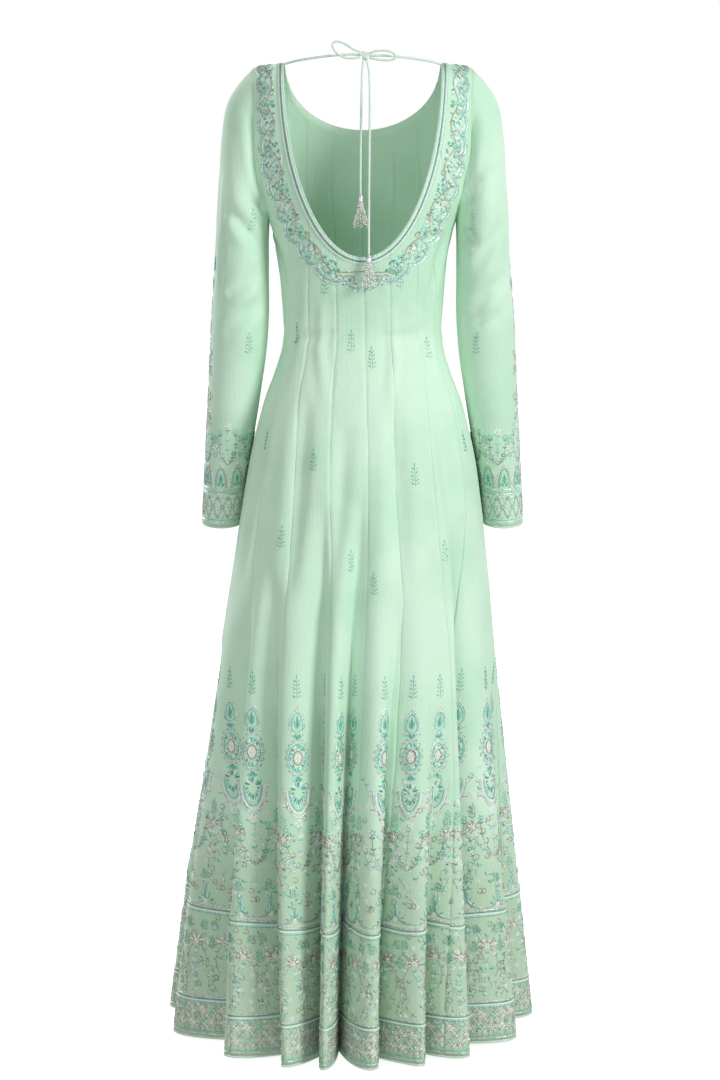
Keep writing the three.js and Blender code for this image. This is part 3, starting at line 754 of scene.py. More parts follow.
class Graph:
    """The nodes of one material."""

    def __init__(self, material: bpy.types.Material) -> None:
        """Start from the material's own Principled BSDF."""
        material.use_nodes = True
        self.tree = material.node_tree
        self.shader = self.tree.nodes["Principled BSDF"]

    def node(self, kind: str, settings: dict | None = None, inputs: dict | None = None,
             output: int | str = 0) -> Signal:
        """Add a node.

        Args:
            kind: the node's type.
            settings: its own settings, set first.
            inputs: values or signals of its sockets.
            output: the socket to read.

        Returns:
            The signal of that output.
        """
        made = self.tree.nodes.new(kind)
        for name, value in (settings or {}).items():
            setattr(made, name, value)
        for name, value in (inputs or {}).items():
            self.feed(made.inputs[name], value)
        return Signal(self, made.outputs[output])

    def feed(self, socket: bpy.types.NodeSocket, value: "Signal | float | tuple") -> None:
        """Link a signal to a socket, or set its value."""
        if isinstance(value, Signal):
            self.tree.links.new(value.socket, socket)
        else:
            socket.default_value = value

    def place(self) -> Signal:
        """Where a point of the piece is, in the gown's frame."""
        return self.node("ShaderNodeTexCoord", output="Object")

    def noise(self, scale: float, detail: float = 2.0,
              stretch: tuple[float, float, float] = (1, 1, 1)) -> Signal:
        """Soft noise from 0 to 1, its size in metres set by its scale."""
        spread = self.node("ShaderNodeMapping", {}, {"Vector": self.place(), "Scale": stretch})
        return self.node("ShaderNodeTexNoise", {}, {"Vector": spread, "Scale": scale, "Detail": detail})

    def ramp(self, value: Signal, low: float, high: float) -> Signal:
        """0 below low and 1 above high, eased between."""
        return self.node("ShaderNodeMapRange", {"interpolation_type": "SMOOTHSTEP"},
                         {"Value": value, "From Min": low, "From Max": high})

    def blend(self, share: "Signal | float", low: "Signal | tuple", high: "Signal | tuple") -> Signal:
        """A colour between two colours."""
        return self.node("ShaderNodeMix", {"data_type": "RGBA"}, {0: share, 6: low, 7: high}, output=2)

    def set(self, **values: "Signal | float | tuple") -> None:
        """Feed the shader's sockets, by name with _ for a space."""
        for name, value in values.items():
            self.feed(self.shader.inputs[name.replace("_", " ")], value)

    def bump(self, height: Signal, strength: float, distance: float) -> None:
        """Raise the surface by a height."""
        self.set(Normal=self.node("ShaderNodeBump", {}, {"Strength": strength, "Distance": distance,
                                                         "Height": height}))


def rgb(red: float, green: float, blue: float) -> tuple[float, float, float, float]:
    """A colour from its everyday 0 to 255 values, as light."""
    linear = [v / 255 / 12.92 if v <= 10 else ((v / 255 + 0.055) / 1.055) ** 2.4 for v in (red, green, blue)]
    return (*linear, 1.0)


# ---------------------------------------------------------------- finishes
@dataclass(frozen=True)
class Finish:
    """A finish, made into one material the first time it is used."""

    name: str

    def material(self) -> bpy.types.Material:
        """The finish's material."""
        found = bpy.data.materials.get(self.name)
        if found is None:
            found = bpy.data.materials.new(self.name)
            self.dress(Graph(found))
        return found

    def dress(self, graph: Graph) -> None:
        """Add the finish's nodes."""
        raise NotImplementedError


@dataclass(frozen=True)
class Crepe(Finish):
    """Matt crepe with a fine crinkle, greyer where it is densely worked."""

    light: tuple[float, ...] = rgb(206, 236, 213)
    deep: tuple[float, ...] = rgb(188, 226, 198)
    worked: tuple[float, ...] = rgb(180, 206, 176)
    worked_from: float = -0.98
    worked_to: float = -1.2

    def dress(self, graph: Graph) -> None:
        """Crinkle, soft clouding and the worked ground."""
        clouds = graph.noise(7.0, 3.0)
        cloth = graph.blend(graph.ramp(clouds, 0.35, 0.7), self.light, self.deep)
        height = graph.node("ShaderNodeSeparateXYZ", {}, {0: graph.place()}, output="Z")
        ground = graph.ramp(height, self.worked_from, self.worked_to)
        graph.set(Base_Color=graph.blend(ground * 0.8, cloth, self.worked), Roughness=0.82,
                  Sheen_Weight=0.25, Sheen_Roughness=0.5, Specular_IOR_Level=0.25)
        crinkle = graph.noise(1100.0, 2.0, (1, 1, 0.45)) + graph.noise(420.0, 2.0) * 0.6
        streaks = graph.noise(260.0, 2.0, (1, 1, 0.02))
        graph.bump(crinkle + streaks * 1.6, 0.4, 0.0007)


@dataclass(frozen=True)
class Thread(Finish):
    """Embroidery thread or wound cord, with a fine twist."""

    colour: tuple[float, ...] = rgb(200, 205, 200)
    shade: tuple[float, ...] = rgb(150, 158, 150)
    metal: float = 0.0
    rough: float = 0.45

    def dress(self, graph: Graph) -> None:
        """A flicker between two tones at the size of the stitches."""
        flicker = graph.noise(650.0, 1.0)
        graph.set(Base_Color=graph.blend(graph.ramp(flicker, 0.35, 0.65), self.colour, self.shade),
                  Roughness=self.rough, Metallic=self.metal)
        graph.bump(graph.noise(1800.0, 1.0), 0.4, 0.0003)


@dataclass(frozen=True)
class Bead(Finish):
    """Pearls, glass and stones."""

    colour: tuple[float, ...] = rgb(226, 230, 224)
    rough: float = 0.22
    metal: float = 0.0
    coat: float = 0.5

    def dress(self, graph: Graph) -> None:
        """A clear coat over a slightly uneven colour."""
        tone = graph.noise(240.0, 1.0)
        dim = tuple(value * 0.82 for value in self.colour[:3]) + (1.0,)
        graph.set(Base_Color=graph.blend(tone, self.colour, dim), Roughness=self.rough, Metallic=self.metal,
                  Coat_Weight=self.coat)


CREPE = Crepe("mint_crepe")
PIPING = Thread("mint_piping", rgb(212, 232, 214), rgb(190, 216, 194), 0.0, 0.6)
TIE_CORD = Thread("tie_cord", rgb(222, 238, 226), rgb(198, 222, 206), 0.0, 0.5)
SILVER = Thread("silver_thread", rgb(232, 236, 230), rgb(140, 152, 146), 0.3, 0.34)
TURQUOISE = Thread("turquoise_silk", rgb(146, 222, 208), rgb(84, 172, 156), 0.0, 0.45)
TEAL = Thread("teal_silk", rgb(112, 172, 150), rgb(78, 138, 118), 0.0, 0.55)
ROSE = Thread("rose_grey_silk", rgb(186, 176, 158), rgb(134, 132, 114), 0.1, 0.5)
WHITE = Thread("white_silk", rgb(240, 243, 238), rgb(214, 222, 214), 0.0, 0.5)
PEARL = Bead("pearl", rgb(240, 240, 234), 0.2, 0.0, 0.6)
AQUA = Bead("aqua_bead", rgb(178, 226, 214), 0.25, 0.0, 0.5)
AQUA_LEAF = Thread("aqua_silk", rgb(172, 222, 208), rgb(138, 196, 180), 0.0, 0.5)
STEEL = Bead("silver_bead", rgb(208, 212, 208), 0.22, 0.6, 0.3)


# ---------------------------------------------------------------- kalis
@dataclass
class Kali:
    """One flared panel of the gown, from its neckline or shoulder to the hem."""

    body: Body
    index: int
    columns: int = 21
    yoke_rows: int = 30
    bodice_rows: int = 26
    skirt_step: float = 11.5
    crowding: float = 1.6
    pinch: float = 0.9
    pucker: float = 0.3
    pucker_length: float = 13.0

    @property
    def name(self) -> str:
        """The CAD node's name."""
        return f"kali_{self.index + 1:02d}"

    @property
    def has_strap(self) -> bool:
        """Whether it runs up over the shoulder."""
        return self.index in STRAP_KALIS

    def line(self, share: Array | float, drop: Array | float) -> Array:
        """The angle of a line that runs down the kali at a share of its width."""
        return mix(self.body.seam_angle(self.index, drop), self.body.seam_angle(self.index + 1, drop), share)

    @property
    def half(self) -> Half:
        """Whether its top lies on the back or the front."""
        middle = float(self.line(0.5, WAIST_DROP))
        return Half.BACK if math.cos(math.radians(middle)) > 0 else Half.FRONT

    def shares(self) -> Array:
        """Shares of the width, closer together at the two seams."""
        even = np.linspace(0, 1, self.columns)
        return even - 0.1 * np.sin(2 * math.pi * even)

    def tops(self) -> tuple[Array, Array, Array]:
        """The rows above the lowest point of its top edge.

        Returns:
            Angles and drops of the yoke rows, and the drops where the rows below start.
        """
        shares, body = self.shares(), self.body
        if not self.has_strap:
            tops = np.array([body.neck_drop_on(lambda drop: self.line(share, drop), self.half)
                             for share in shares])
            return np.zeros((0, len(shares))), np.zeros((0, len(shares))), tops
        armhole_first = self.index in ARMHOLE_FIRST
        to_armhole = 1 - shares if armhole_first else shares
        seam_top = body.neck_drop_on(lambda drop: self.line(1.0 if armhole_first else 0.0, drop), self.half)
        level = (np.arange(self.yoke_rows) / self.yoke_rows)[:, None]
        arm_drop = ARMHOLE_DEPTH / 2 * (1 - np.cos(math.pi * level))
        neck_drop = body.drop_of(body.reach_of(seam_top) * level ** self.crowding)
        side = 1 if self.index < KALIS / 2 else -1
        arm_angle = body.quarter(body.armhole_lean(arm_drop, self.half), self.half, side)
        neck_angle = body.angle_at_width(side * body.neck_half(neck_drop, self.half), neck_drop, self.half)
        reach = mix(body.reach_of(neck_drop), body.reach_of(arm_drop), to_armhole)
        angles = mix(neck_angle, arm_angle, to_armhole)
        tops = body.drop_of(mix(body.reach_of(seam_top), body.reach_of(ARMHOLE_DEPTH), to_armhole))
        if side < 0:
            angles = angles + 360
        return angles, body.drop_of(np.maximum(reach, 0.3)), tops

    def grid(self) -> Array:
        """The panel's points, seams pinched in a little."""
        shares = self.shares()
        angles, drops, tops = self.tops()
        share_rows = np.arange(self.bodice_rows)[:, None] / self.bodice_rows
        bodice = mix(tops[None, :], WAIST_DROP, share_rows)
        count = round((LENGTH - WAIST_DROP) / self.skirt_step)
        skirt = np.repeat(np.linspace(WAIST_DROP, LENGTH, count + 1)[:, None], len(shares), axis=1)
        below = np.concatenate([bodice, skirt])
        all_drops = np.concatenate([drops, below])
        all_angles = np.concatenate([angles, self.line(shares[None, :], below)])
        points = self.body.point(all_angles, all_drops)
        return self._seam_pinch(points, all_drops, len(drops))

    def _seam_pinch(self, points: Array, drops: Array, yoke: int) -> Array:
        """Dip and pucker the cloth beside its two seams, below the yoke."""
        across, down = np.gradient(points, axis=1), np.gradient(points, axis=0)
        normals = unit(np.cross(across, down))
        run = np.concatenate([np.zeros((len(points), 1)),
                              np.cumsum(np.linalg.norm(np.diff(points, axis=1), axis=-1), axis=1)], axis=1)
        away = np.minimum(run, run[:, -1:] - run)
        wave = np.sin(2 * math.pi * drops / self.pucker_length + 1.7 * self.index)
        push = (self.pinch * np.exp(-(away / 2.2) ** 2)
                + self.pucker * wave * np.exp(-((away - 4) / 4) ** 2))
        rows = np.arange(len(points))[:, None]
        push = push * np.clip((rows - yoke) / 6 + 0.0, 0, 1)
        return points - normals * push[..., None]

    def chart(self, step: float = 6.0) -> Chart:
        """The panel laid flat, from the chest to the hem."""
        drops = np.arange(120.0, LENGTH + step / 2, step)[:, None]
        shares = np.linspace(0, 1, 61)[None, :]
        drops_full = drops + 0 * shares
        return Chart.from_rows(self.body.point(self.line(shares, drops_full), drops_full), 120.0, step)

    def build(self) -> bpy.types.Object:
        """Make the panel and say how it was cut."""
        grid = self.grid()
        points, faces = shell_mesh(grid, CLOTH)
        piece = make_object(f"{self.name}_cloth", points, faces, [CREPE])
        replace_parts(piece, self.name)
        steps = np.linalg.norm(np.diff(grid, axis=1), axis=-1).sum(axis=1)
        down = np.linalg.norm(np.diff(grid, axis=0), axis=-1).mean(axis=1)
        length = np.linalg.norm(np.diff(grid, axis=0), axis=-1).sum(axis=0).max()
        area = float(((steps[1:] + steps[:-1]) / 2 * down).sum())
        width = max(float(steps.max()), area / float(length) * 1.001)
        log.info("%s: cut %.0f by %.0f mm, area %.0f mm2", self.name, width, length, area)
        return piece


# ---------------------------------------------------------------- sleeves
@dataclass
class Sleeve:
    """A fitted sleeve with its armhole seam and cuff roll."""

    form: SleeveForm
    around: int = 56
    rows: int = 90
    roll: float = 1.6

    def grid(self) -> Array:
        """The sleeve's points, row by row from the armhole."""
        turns = np.linspace(0, 2 * math.pi, self.around, endpoint=False)[None, :]
        turns = turns * (1 if self.form.side is Side.RIGHT else -1)
        share = np.linspace(0, 1, self.rows)[:, None]
        start = self.form.start_drop(turns)
        drops = mix(start, CUFF_DROP, share)
        return self.form.point(turns + 0 * drops, drops)

    def build(self) -> None:
        """Make the sleeve and its cuff roll."""
        grid = self.grid()
        points, faces = shell_mesh(grid, CLOTH, closed=True)
        piece = make_object(f"sleeve_{self.form.side.word}_cloth", points, faces, [CREPE])
        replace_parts(piece, f"sleeve_{self.form.side.word}")
        edge = grid[-1] + np.array([0, 0, -self.roll - 0.2])
        tube, sides = sweep(edge, lambda turn, run: self.roll + 0 * turn + 0 * run, 8, closed=True)
        cuff = make_object(f"cuff_roll_{self.form.side.word}", tube, sides, [PIPING])
        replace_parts(cuff, f"cuff_piping_{self.form.side.word}")


# ---------------------------------------------------------------- the tie cord
class TieCord(NamedTuple):
    """A stretch of the tie cord: its route and what is on its far end."""

    name: str
    route: tuple[tuple[float, float, float], ...]
    far_end: str
    lay: str


KNOT_AT = (-3.0, 60.0, 6.0)
TIE_CORDS = (
    TieCord("tie_strand_left", (
        (3.4, 59, 7), (18, 59.5, 8), (36, 58, 7), (54, 54.5, 5.6), (70, 49.5, 4), (84, 43.5, 2.4),
        (96, 36.5, 0.7), (104, 32.2, -1.2), (109.4, 29.4, -2.4)), "object", "taut"),
    TieCord("tie_strand_right", (
        (-9.4, 59, 6), (-24, 58.5, 6.4), (-40, 56.5, 6), (-56, 53, 4.8), (-71, 48, 3.4), (-85, 42, 2),
        (-97, 35.5, 0.4), (-105, 31.4, -1.4), (-109.4, 29.2, -2.4)), "object", "taut"),
    TieCord("bow_loop_left", (
        (3.4, 63.6, 4), (12, 65, 2.4), (24, 66, 3), (34, 66, 8), (40, 65, 15), (42, 64, 21), (38, 63.5, 25),
        (31, 63.6, 24.6), (22, 64, 20.4), (13, 64.4, 14.6), (3.4, 64.2, 10.4)), "object", "hanging"),
    TieCord("bow_loop_right", (
        (-9.4, 63.6, 9), (-17, 65, 11.6), (-27, 66, 12.6), (-37, 66, 11.6), (-44, 65.4, 8), (-46, 65, 3.6),
        (-42, 65, 0.4), (-34, 65.4, -0.6), (-24, 65.6, 0), (-16, 65, 1.4), (-9.4, 64, 3)),
        "object", "hanging"),
    TieCord("tie_tail_left", (
        (-1, 61, -0.6), (0.4, 61.6, -14), (1.2, 62, -34), (1.8, 62.3, -60), (2.3, 62.6, -92),
        (2.8, 62.8, -126), (3, 62.9, -156), (3, 63, -184)), "fitting", "hanging"),
    TieCord("tie_tail_right", (
        (-5.6, 61.4, -0.6), (-8.6, 63.6, -14), (-9.8, 67, -36), (-10, 72.4, -66), (-9.6, 79, -104),
        (-9.2, 86, -146), (-8.8, 92.6, -188), (-8.6, 99.4, -228), (-8.5, 103.8, -254), (-8.5, 105.5, -269)),
        "fitting", "hanging"),
)


@dataclass
class Tie:
    """The wound cord across the back neck, its bow, knot and two tails."""

    diameter: float = 3.4
    strands: int = 3
    pitch: float = 11.0
    depth: float = 0.13
    corners: int = 12
    step: float = 1.1

    def _section(self, turn: Array, run: Array) -> Array:
        """The lobed radius of a wound cord."""
        twist = self.strands * (turn - 2 * math.pi * run / self.pitch)
        return self.diameter / 2 * (1 - self.depth / 2 + self.depth / 2 * np.cos(twist))

    def build(self, tassels: dict[str, bpy.types.Object]) -> None:
        """Make each stretch in place of its CAD part.

        Args:
            tassels: the tassel on each tail, by the tail's name.
        """
        for cord in TIE_CORDS:
            path = round_route(cord.route, self.step)
            points, faces = sweep(path, self._section, self.corners)
            piece = make_object(f"{cord.name}_cord", points, faces, [TIE_CORD])
            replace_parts(piece, cord.name)
            [tassels[cord.name]] if cord.name in tassels else []
        self._knot()

    def _knot(self) -> None:
        """Wrap three turns of cord round the middle of the bow."""
        points, faces = [], []
        for wrap in range(3):
            share = np.linspace(0, 2 * math.pi, 30, endpoint=False)
            tilt = math.radians(16 * (wrap - 1))
            centre = np.array(KNOT_AT) + np.array([2.9 * (wrap - 1), 0, 0.8 * (wrap - 1)])
            ring = np.stack([np.sin(tilt) * np.cos(share) * 3.6, np.sin(share) * 4.0,
                             np.cos(share) * 4.6], axis=-1) + centre
            some, sides = sweep(ring, self._section, self.corners, closed=True)
            faces += [tuple(i + sum(map(len, points)) for i in face) for face in sides]
            points.append(some)
        core, sides = ball(np.array(KNOT_AT), 3.4, 10, 6)
        faces += [tuple(i + sum(map(len, points)) for i in face) for face in sides]
        points.append(core * 1.0)
        piece = make_object("tie_knot_wraps", np.concatenate(points), faces, [TIE_CORD])
        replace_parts(piece, "tie_knot")


def ball(centre: Array, radius: float, around: int, rings: int) -> tuple[Array, list[tuple[int, ...]]]:
    """A small ball.

    Args:
        centre: its middle.
        radius: its radius.
        around: points round it.
        rings: rings between its poles.

    Returns:
        The vertices and the faces.
    """
    turn = 2 * math.pi * np.arange(around) / around
    lift = math.pi * (np.arange(rings) + 1) / (rings + 1)
    ring = np.stack([np.sin(lift)[:, None] * np.cos(turn), np.sin(lift)[:, None] * np.sin(turn),
                     np.cos(lift)[:, None] + 0 * turn], axis=-1).reshape(-1, 3)
    points = np.concatenate([ring, [[0, 0, 1], [0, 0, -1]]]) * radius + centre
    count = around * rings
    faces = [(r * around + k, (r + 1) * around + k, (r + 1) * around + (k + 1) % around,
              r * around + (k + 1) % around)
             for r in range(rings - 1) for k in range(around)]
    faces += [(count, k, (k + 1) % around) for k in range(around)]
    low = (rings - 1) * around
    faces += [(count + 1, low + (k + 1) % around, low + k) for k in range(around)]
    return points, faces


@dataclass
class Tassel:
    """A capped head over a flared skirt of bead strings."""

    name: str
    tail: str
    cap: float = 5.0
    waist: float = 4.2
    flare: float = 13.0
    tall: float = 47.0
    strings: int = 16
    beads: int = 12
    bead: float = 1.25

    def build(self) -> bpy.types.Object:
        """Make the tassel as one joined piece."""
        top = np.array(next(cord.route[-1] for cord in TIE_CORDS if cord.name == self.tail)) - [0, 0, 0.3]
        points, faces, which = [], [], []

        def add(some: Array, sides: list, slot: int) -> None:
            """Join another shape."""
            base = sum(map(len, points))
            points.append(some)
            faces.extend(tuple(i + base for i in face) for face in sides)
            which.extend([slot] * len(sides))

        for drop, radius in ((2.2, 3.0), (5.5, 4.6), (8.8, 4.2)):
            add(*ball(top - [0, 0, drop], radius, 12, 7), 1)
        rng = np.random.default_rng(len(self.name))
        for string in range(self.strings):
            turn = 2 * math.pi * string / self.strings
            reach = self.flare * (0.62 + 0.3 * ((string * 7) % 5) / 4)
            length = self.tall - 12 - 6 * ((string * 3) % 4) / 3
            for bead in range(self.beads):
                share = bead / (self.beads - 1)
                out = mix(self.waist * 0.8, reach, smooth(share * 0.75) / smooth(0.75))
                turned = turn + 0.12 * math.sin(3 * share + string)
                at = top + [out * math.cos(turned), out * math.sin(turned), -11 - length * share]
                add(*ball(at, self.bead * rng.uniform(0.85, 1.15), 6, 3), int(bead % 3 == 0))
        piece = make_object(f"{self.name}_beads", np.concatenate(points), faces, [PEARL, STEEL], which)
        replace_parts(piece, self.name)
        return piece


# ---------------------------------------------------------------- hem and neck edges
@dataclass
class HemRoll:
    """The piped roll along the hem."""

    body: Body
    radius: float = 1.6
    points_per_kali: int = 60

    def build(self) -> bpy.types.Object:
        """Make the roll just under the edge."""
        rows = []
        for index in range(KALIS):
            share = np.arange(self.points_per_kali) / self.points_per_kali
            angle = mix(self.body.seam_angle(index, LENGTH), self.body.seam_angle(index + 1, LENGTH), share)
            rows.append(self.body.point(angle, LENGTH + 0 * angle))
        ring = np.concatenate(rows)
        ring = ring + np.array([0, 0, -self.radius - 0.1])
        points, faces = sweep(ring, lambda turn, run: self.radius + 0 * turn + 0 * run, 8, closed=True)
        piece = make_object("hem_roll", points, faces, [PIPING])
        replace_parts(piece, "hem_piping")
        return piece


@dataclass
class NeckEdge:
    """The neckline, walked from the middle of one half up to the shoulder ridge."""

    body: Body
    half: Half
    wide: float = 50.0
    across: int = 21
    step: float = 2.5
    arm_margin: float = 2.5

    def __post_init__(self) -> None:
        """Lay out the neckline by width and reach."""
        deepest = self.body.neck_drop[self.half]
        turn = np.linspace(math.pi / 2, 0, 1200)
        drop = deepest * np.sin(turn)
        x = self.body.neck_half_width * np.cos(turn)
        line = np.stack([x, self.body.reach_of(drop)], axis=-1)
        run = np.concatenate([[0], np.cumsum(np.linalg.norm(np.diff(line, axis=0), axis=1))])
        self.length = float(run[-1])
        even = np.linspace(0, self.length, int(self.length / self.step) + 1)
        self.run = even
        self.line = np.stack([np.interp(even, run, line[:, k]) for k in range(2)], axis=-1)
        way = unit(np.gradient(self.line, axis=0))
        self.outward = np.stack([-way[:, 1], way[:, 0]], axis=-1)
        self.outward = self.outward * np.sign(self.outward[:, :1] + 1e-9)
        self.outward[0] = (0, 1)
        edge_drop = self.body.drop_of(self.line[:, 1])
        lean = self.body.armhole_lean(edge_drop, self.half)
        arm_x = np.abs(self.body._plain(self.body.quarter(lean, self.half, 1), edge_drop)[:, 0])
        room = (arm_x - self.arm_margin - self.line[:, 0]) / np.maximum(self.outward[:, 0], 0.05)
        self.room = np.where(edge_drop < ARMHOLE_DEPTH - 20, np.minimum(room, self.wide), self.wide)

    def chart(self, side: Side) -> Chart:
        """A flat chart of the neck border.

        Args:
            side: which side of the middle.

        Returns:
            The chart, y along the neckline from its middle and x across, outwards.
        """
        away = np.linspace(0, 1, self.across)[None, :] * self.room[:, None]
        x = self.line[:, :1] + away * self.outward[:, :1]
        reach = np.maximum(self.line[:, 1:] + away * self.outward[:, 1:], 0.3)
        drop = self.body.drop_of(reach)
        angle = self.body.angle_at_width(side.value * x, drop, self.half)
        points = self.body.point(angle, drop)
        facing = -side.value * self.half.value
        return Chart(points, self.room.copy(), 0.0, self.length / (len(self.run) - 1), facing)


# ---------------------------------------------------------------- stitches on a flat cloth
class Stitches:
    """Embroidery drawn flat: x to the right, y down and height, gathered by finish."""

    def __init__(self) -> None:
        """Start with bare cloth."""
        self.parts: list[tuple[Finish, Array, Array]] = []

    def line(self, points: Sequence | Array, finish: Finish, radius: float = 0.7, step: float = 2.4) -> None:
        """Couch a cord along a line.

        Args:
            points: the line's corner or curve points.
            finish: the cord's finish.
            radius: half the cord's width.
            step: the distance between stations.
        """
        raw = np.asarray(points, float)
        run = np.concatenate([[0], np.cumsum(np.linalg.norm(np.diff(raw, axis=0), axis=1))])
        if run[-1] < 1e-6:
            return
        even = np.linspace(0, run[-1], max(1, math.ceil(run[-1] / step)) + 1)
        path = np.stack([np.interp(even, run, raw[:, k]) for k in range(2)], axis=-1)
        way = unit(np.gradient(path, axis=0))
        left = np.stack([-way[:, 1], way[:, 0]], axis=-1) * radius
        low = np.full((len(path), 1), -0.15)
        top = np.full((len(path), 1), radius * 1.25)
        rows = [np.hstack([path + left, low]), np.hstack([path, top]), np.hstack([path - left, low])]
        points_3 = np.stack(rows, axis=1).reshape(-1, 3)
        start = (np.arange(len(path) - 1) * 3)[:, None]
        quads = [(0, 1, 4, 3), (1, 2, 5, 4)]
        triangles = np.concatenate([start + np.array([[a, b, c]]) for a, b, c, _ in quads]
                                   + [start + np.array([[a, c, d]]) for a, _, c, d in quads])
        self.parts.append((finish, points_3, triangles))

    def leaf(self, base: Sequence[float], tip: Sequence[float], width: float, finish: Finish,
             rise: float = 0.9) -> None:
        """Satin-stitch a pointed leaf.

        Args:
            base: where it starts.
            tip: where it ends.
            width: its full width.
            finish: its thread.
            rise: its height.
        """
        start, end = np.asarray(base, float), np.asarray(tip, float)
        way = end - start
        left = np.array([-way[1], way[0]]) / max(float(np.linalg.norm(way)), 1e-6) * width / 2
        stations = [(0.32, 1.0), (0.7, 0.85)]
        points = [np.append(start, -0.1)]
        for share, full in stations:
            middle = start + way * share
            points += [np.append(middle + left * full, -0.1), np.append(middle, rise),
                       np.append(middle - left * full, -0.1)]
        points.append(np.append(end, -0.1))
        triangles = [(0, 1, 2), (0, 2, 3), (1, 4, 5), (1, 5, 2), (2, 5, 6), (2, 6, 3), (4, 7, 5), (5, 7, 6)]
        self.parts.append((finish, np.array(points), np.array(triangles)))

    def bead(self, x: float, y: float, radius: float, finish: Finish, sides: int = 6) -> None:
        """Sew on a bead or a stone."""
        turn = 2 * math.pi * np.arange(sides) / sides
        rings = [(1.0, -0.1), (0.78, 0.75)]
        points = [np.stack([x + radius * full * np.cos(turn), y + radius * full * np.sin(turn),
                            np.full(sides, radius * high)], axis=-1) for full, high in rings]
        points.append(np.array([[x, y, radius * 1.15]]))
        k = np.arange(sides)
        n = (k + 1) % sides
        triangles = np.concatenate([np.stack([k, n, n + sides], -1), np.stack([k, n + sides, k + sides], -1),
                                    np.stack([k + sides, n + sides, np.full(sides, 2 * sides)], -1)])
        self.parts.append((finish, np.concatenate(points), triangles))

    def dots(self, points: Iterable[Sequence[float]], radius: float, finish: Finish, sides: int = 4) -> None:
        """Sew a row of small beads."""
        for x, y in points:
            turn = 2 * math.pi * np.arange(sides) / sides
            ring = np.stack([x + radius * np.cos(turn), y + radius * np.sin(turn),
                             np.full(sides, -0.05)], -1)
            cap = np.array([[x, y, radius * 1.2]])
            k = np.arange(sides)
            fan = np.stack([k, (k + 1) % sides, np.full(sides, sides)], -1)
            self.parts.append((finish, np.concatenate([ring, cap]), fan))

    def placed(self, x: float, y: float, turn: float = 0.0, scale: float = 1.0,
               mirror: bool = False) -> "Stitches":
        """The same stitches moved, turned and scaled.

        Args:
            x: where the origin goes.
            y: where the origin goes.
            turn: degrees.
            scale: size.
            mirror: whether left and right are swapped.

        Returns:
            New stitches.
        """
        copy = Stitches()
        cos, sin = math.cos(math.radians(turn)) * scale, math.sin(math.radians(turn)) * scale
        flip = -1.0 if mirror else 1.0
        for finish, points, triangles in self.parts:
            px, py = points[:, 0] * flip, points[:, 1]
            moved = np.stack([x + px * cos - py * sin, y + px * sin + py * cos,
                              points[:, 2] * min(scale, 1.0)], -1)
            copy.parts.append((finish, moved, triangles))
        return copy

    def take(self, *others: "Stitches") -> "Stitches":
        """Add other stitches to these."""
        for other in others:
            self.parts += other.parts
        return self

    def laid(self, chart: Chart) -> list[tuple[Finish, Array, Array]]:
        """Carry the stitches onto a chart of the cloth, one mesh for each finish."""
        lift = CLOTH / 2
        finished = []
        for finish in dict.fromkeys(part[0] for part in self.parts):
            mine = [part for part in self.parts if part[0] is finish]
            counts = np.cumsum([0] + [len(points) for _, points, _ in mine])
            flat = np.concatenate([points for _, points, _ in mine])
            triangles = np.concatenate([faces + base for (_, _, faces), base in zip(mine, counts)])
            flat[:, 2] += lift
            finished.append((finish, chart.lay(flat), triangles))
        return finished


class Embroidery:
    """Laid stitches gathered into a few named pieces."""

    def __init__(self, name: str) -> None:
        """Start an empty piece."""
        self.name = name
        self.laid: list[tuple[Finish, Array, Array]] = []

    def add(self, stitches: Stitches, chart: Chart) -> None:
        """Lay stitches on the cloth."""
        self.laid += stitches.laid(chart)

    def build(self, slot: str = "binding") -> bpy.types.Object | None:
        """Make the piece, with one material slot for each finish.

        Args:
            slot: not used.

        Returns:
            The piece.
        """
        if not self.laid:
            return None
        finishes = list(dict.fromkeys(part[0] for part in self.laid))
        counts = np.cumsum([0] + [len(points) for _, points, _ in self.laid])
        points = np.concatenate([part[1] for part in self.laid]) * MM
        triangles = np.concatenate([faces + base for (_, _, faces), base in zip(self.laid, counts)])
        which = np.concatenate([np.full(len(faces), finishes.index(finish))
                                for finish, _, faces in self.laid])
        mesh = bpy.data.meshes.new(self.name)
        mesh.vertices.add(len(points))
        mesh.vertices.foreach_set("co", points.astype(np.float32).ravel())
        mesh.loops.add(triangles.size)
        mesh.loops.foreach_set("vertex_index", triangles.astype(np.int32).ravel())
        mesh.polygons.add(len(triangles))
        mesh.polygons.foreach_set("loop_start", np.arange(0, triangles.size, 3, dtype=np.int32))
        for finish in finishes:
            mesh.materials.append(finish.material())
        mesh.polygons.foreach_set("material_index", which.astype(np.int32))
        mesh.update(calc_edges=True)
        mesh.validate()
        mesh.shade_smooth()
        piece = bpy.data.objects.new(self.name, mesh)
        bpy.context.collection.objects.link(piece)
        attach(piece, "root")
        log.info("%s: %d triangles", self.name, len(triangles))
        return piece


def arc(cx: float, cy: float, rx: float, ry: float, start: float, end: float, count: int = 12) -> Array:
    """Points of an arc of an ellipse, angles in degrees with 90 downwards."""
    turn = np.radians(np.linspace(start, end, count))
    return np.stack([cx + rx * np.cos(turn), cy + ry * np.sin(turn)], axis=-1)


def bow_line(start: Sequence[float], end: Sequence[float], bulge: float, count: int = 9) -> Array:
    """Points of a bowed line between two points."""
    a, b = np.asarray(start, float), np.asarray(end, float)
    share = np.linspace(0, 1, count)[:, None]
    side = np.array([-(b - a)[1], (b - a)[0]])
    return a + (b - a) * share + side * bulge * 4 * share * (1 - share)


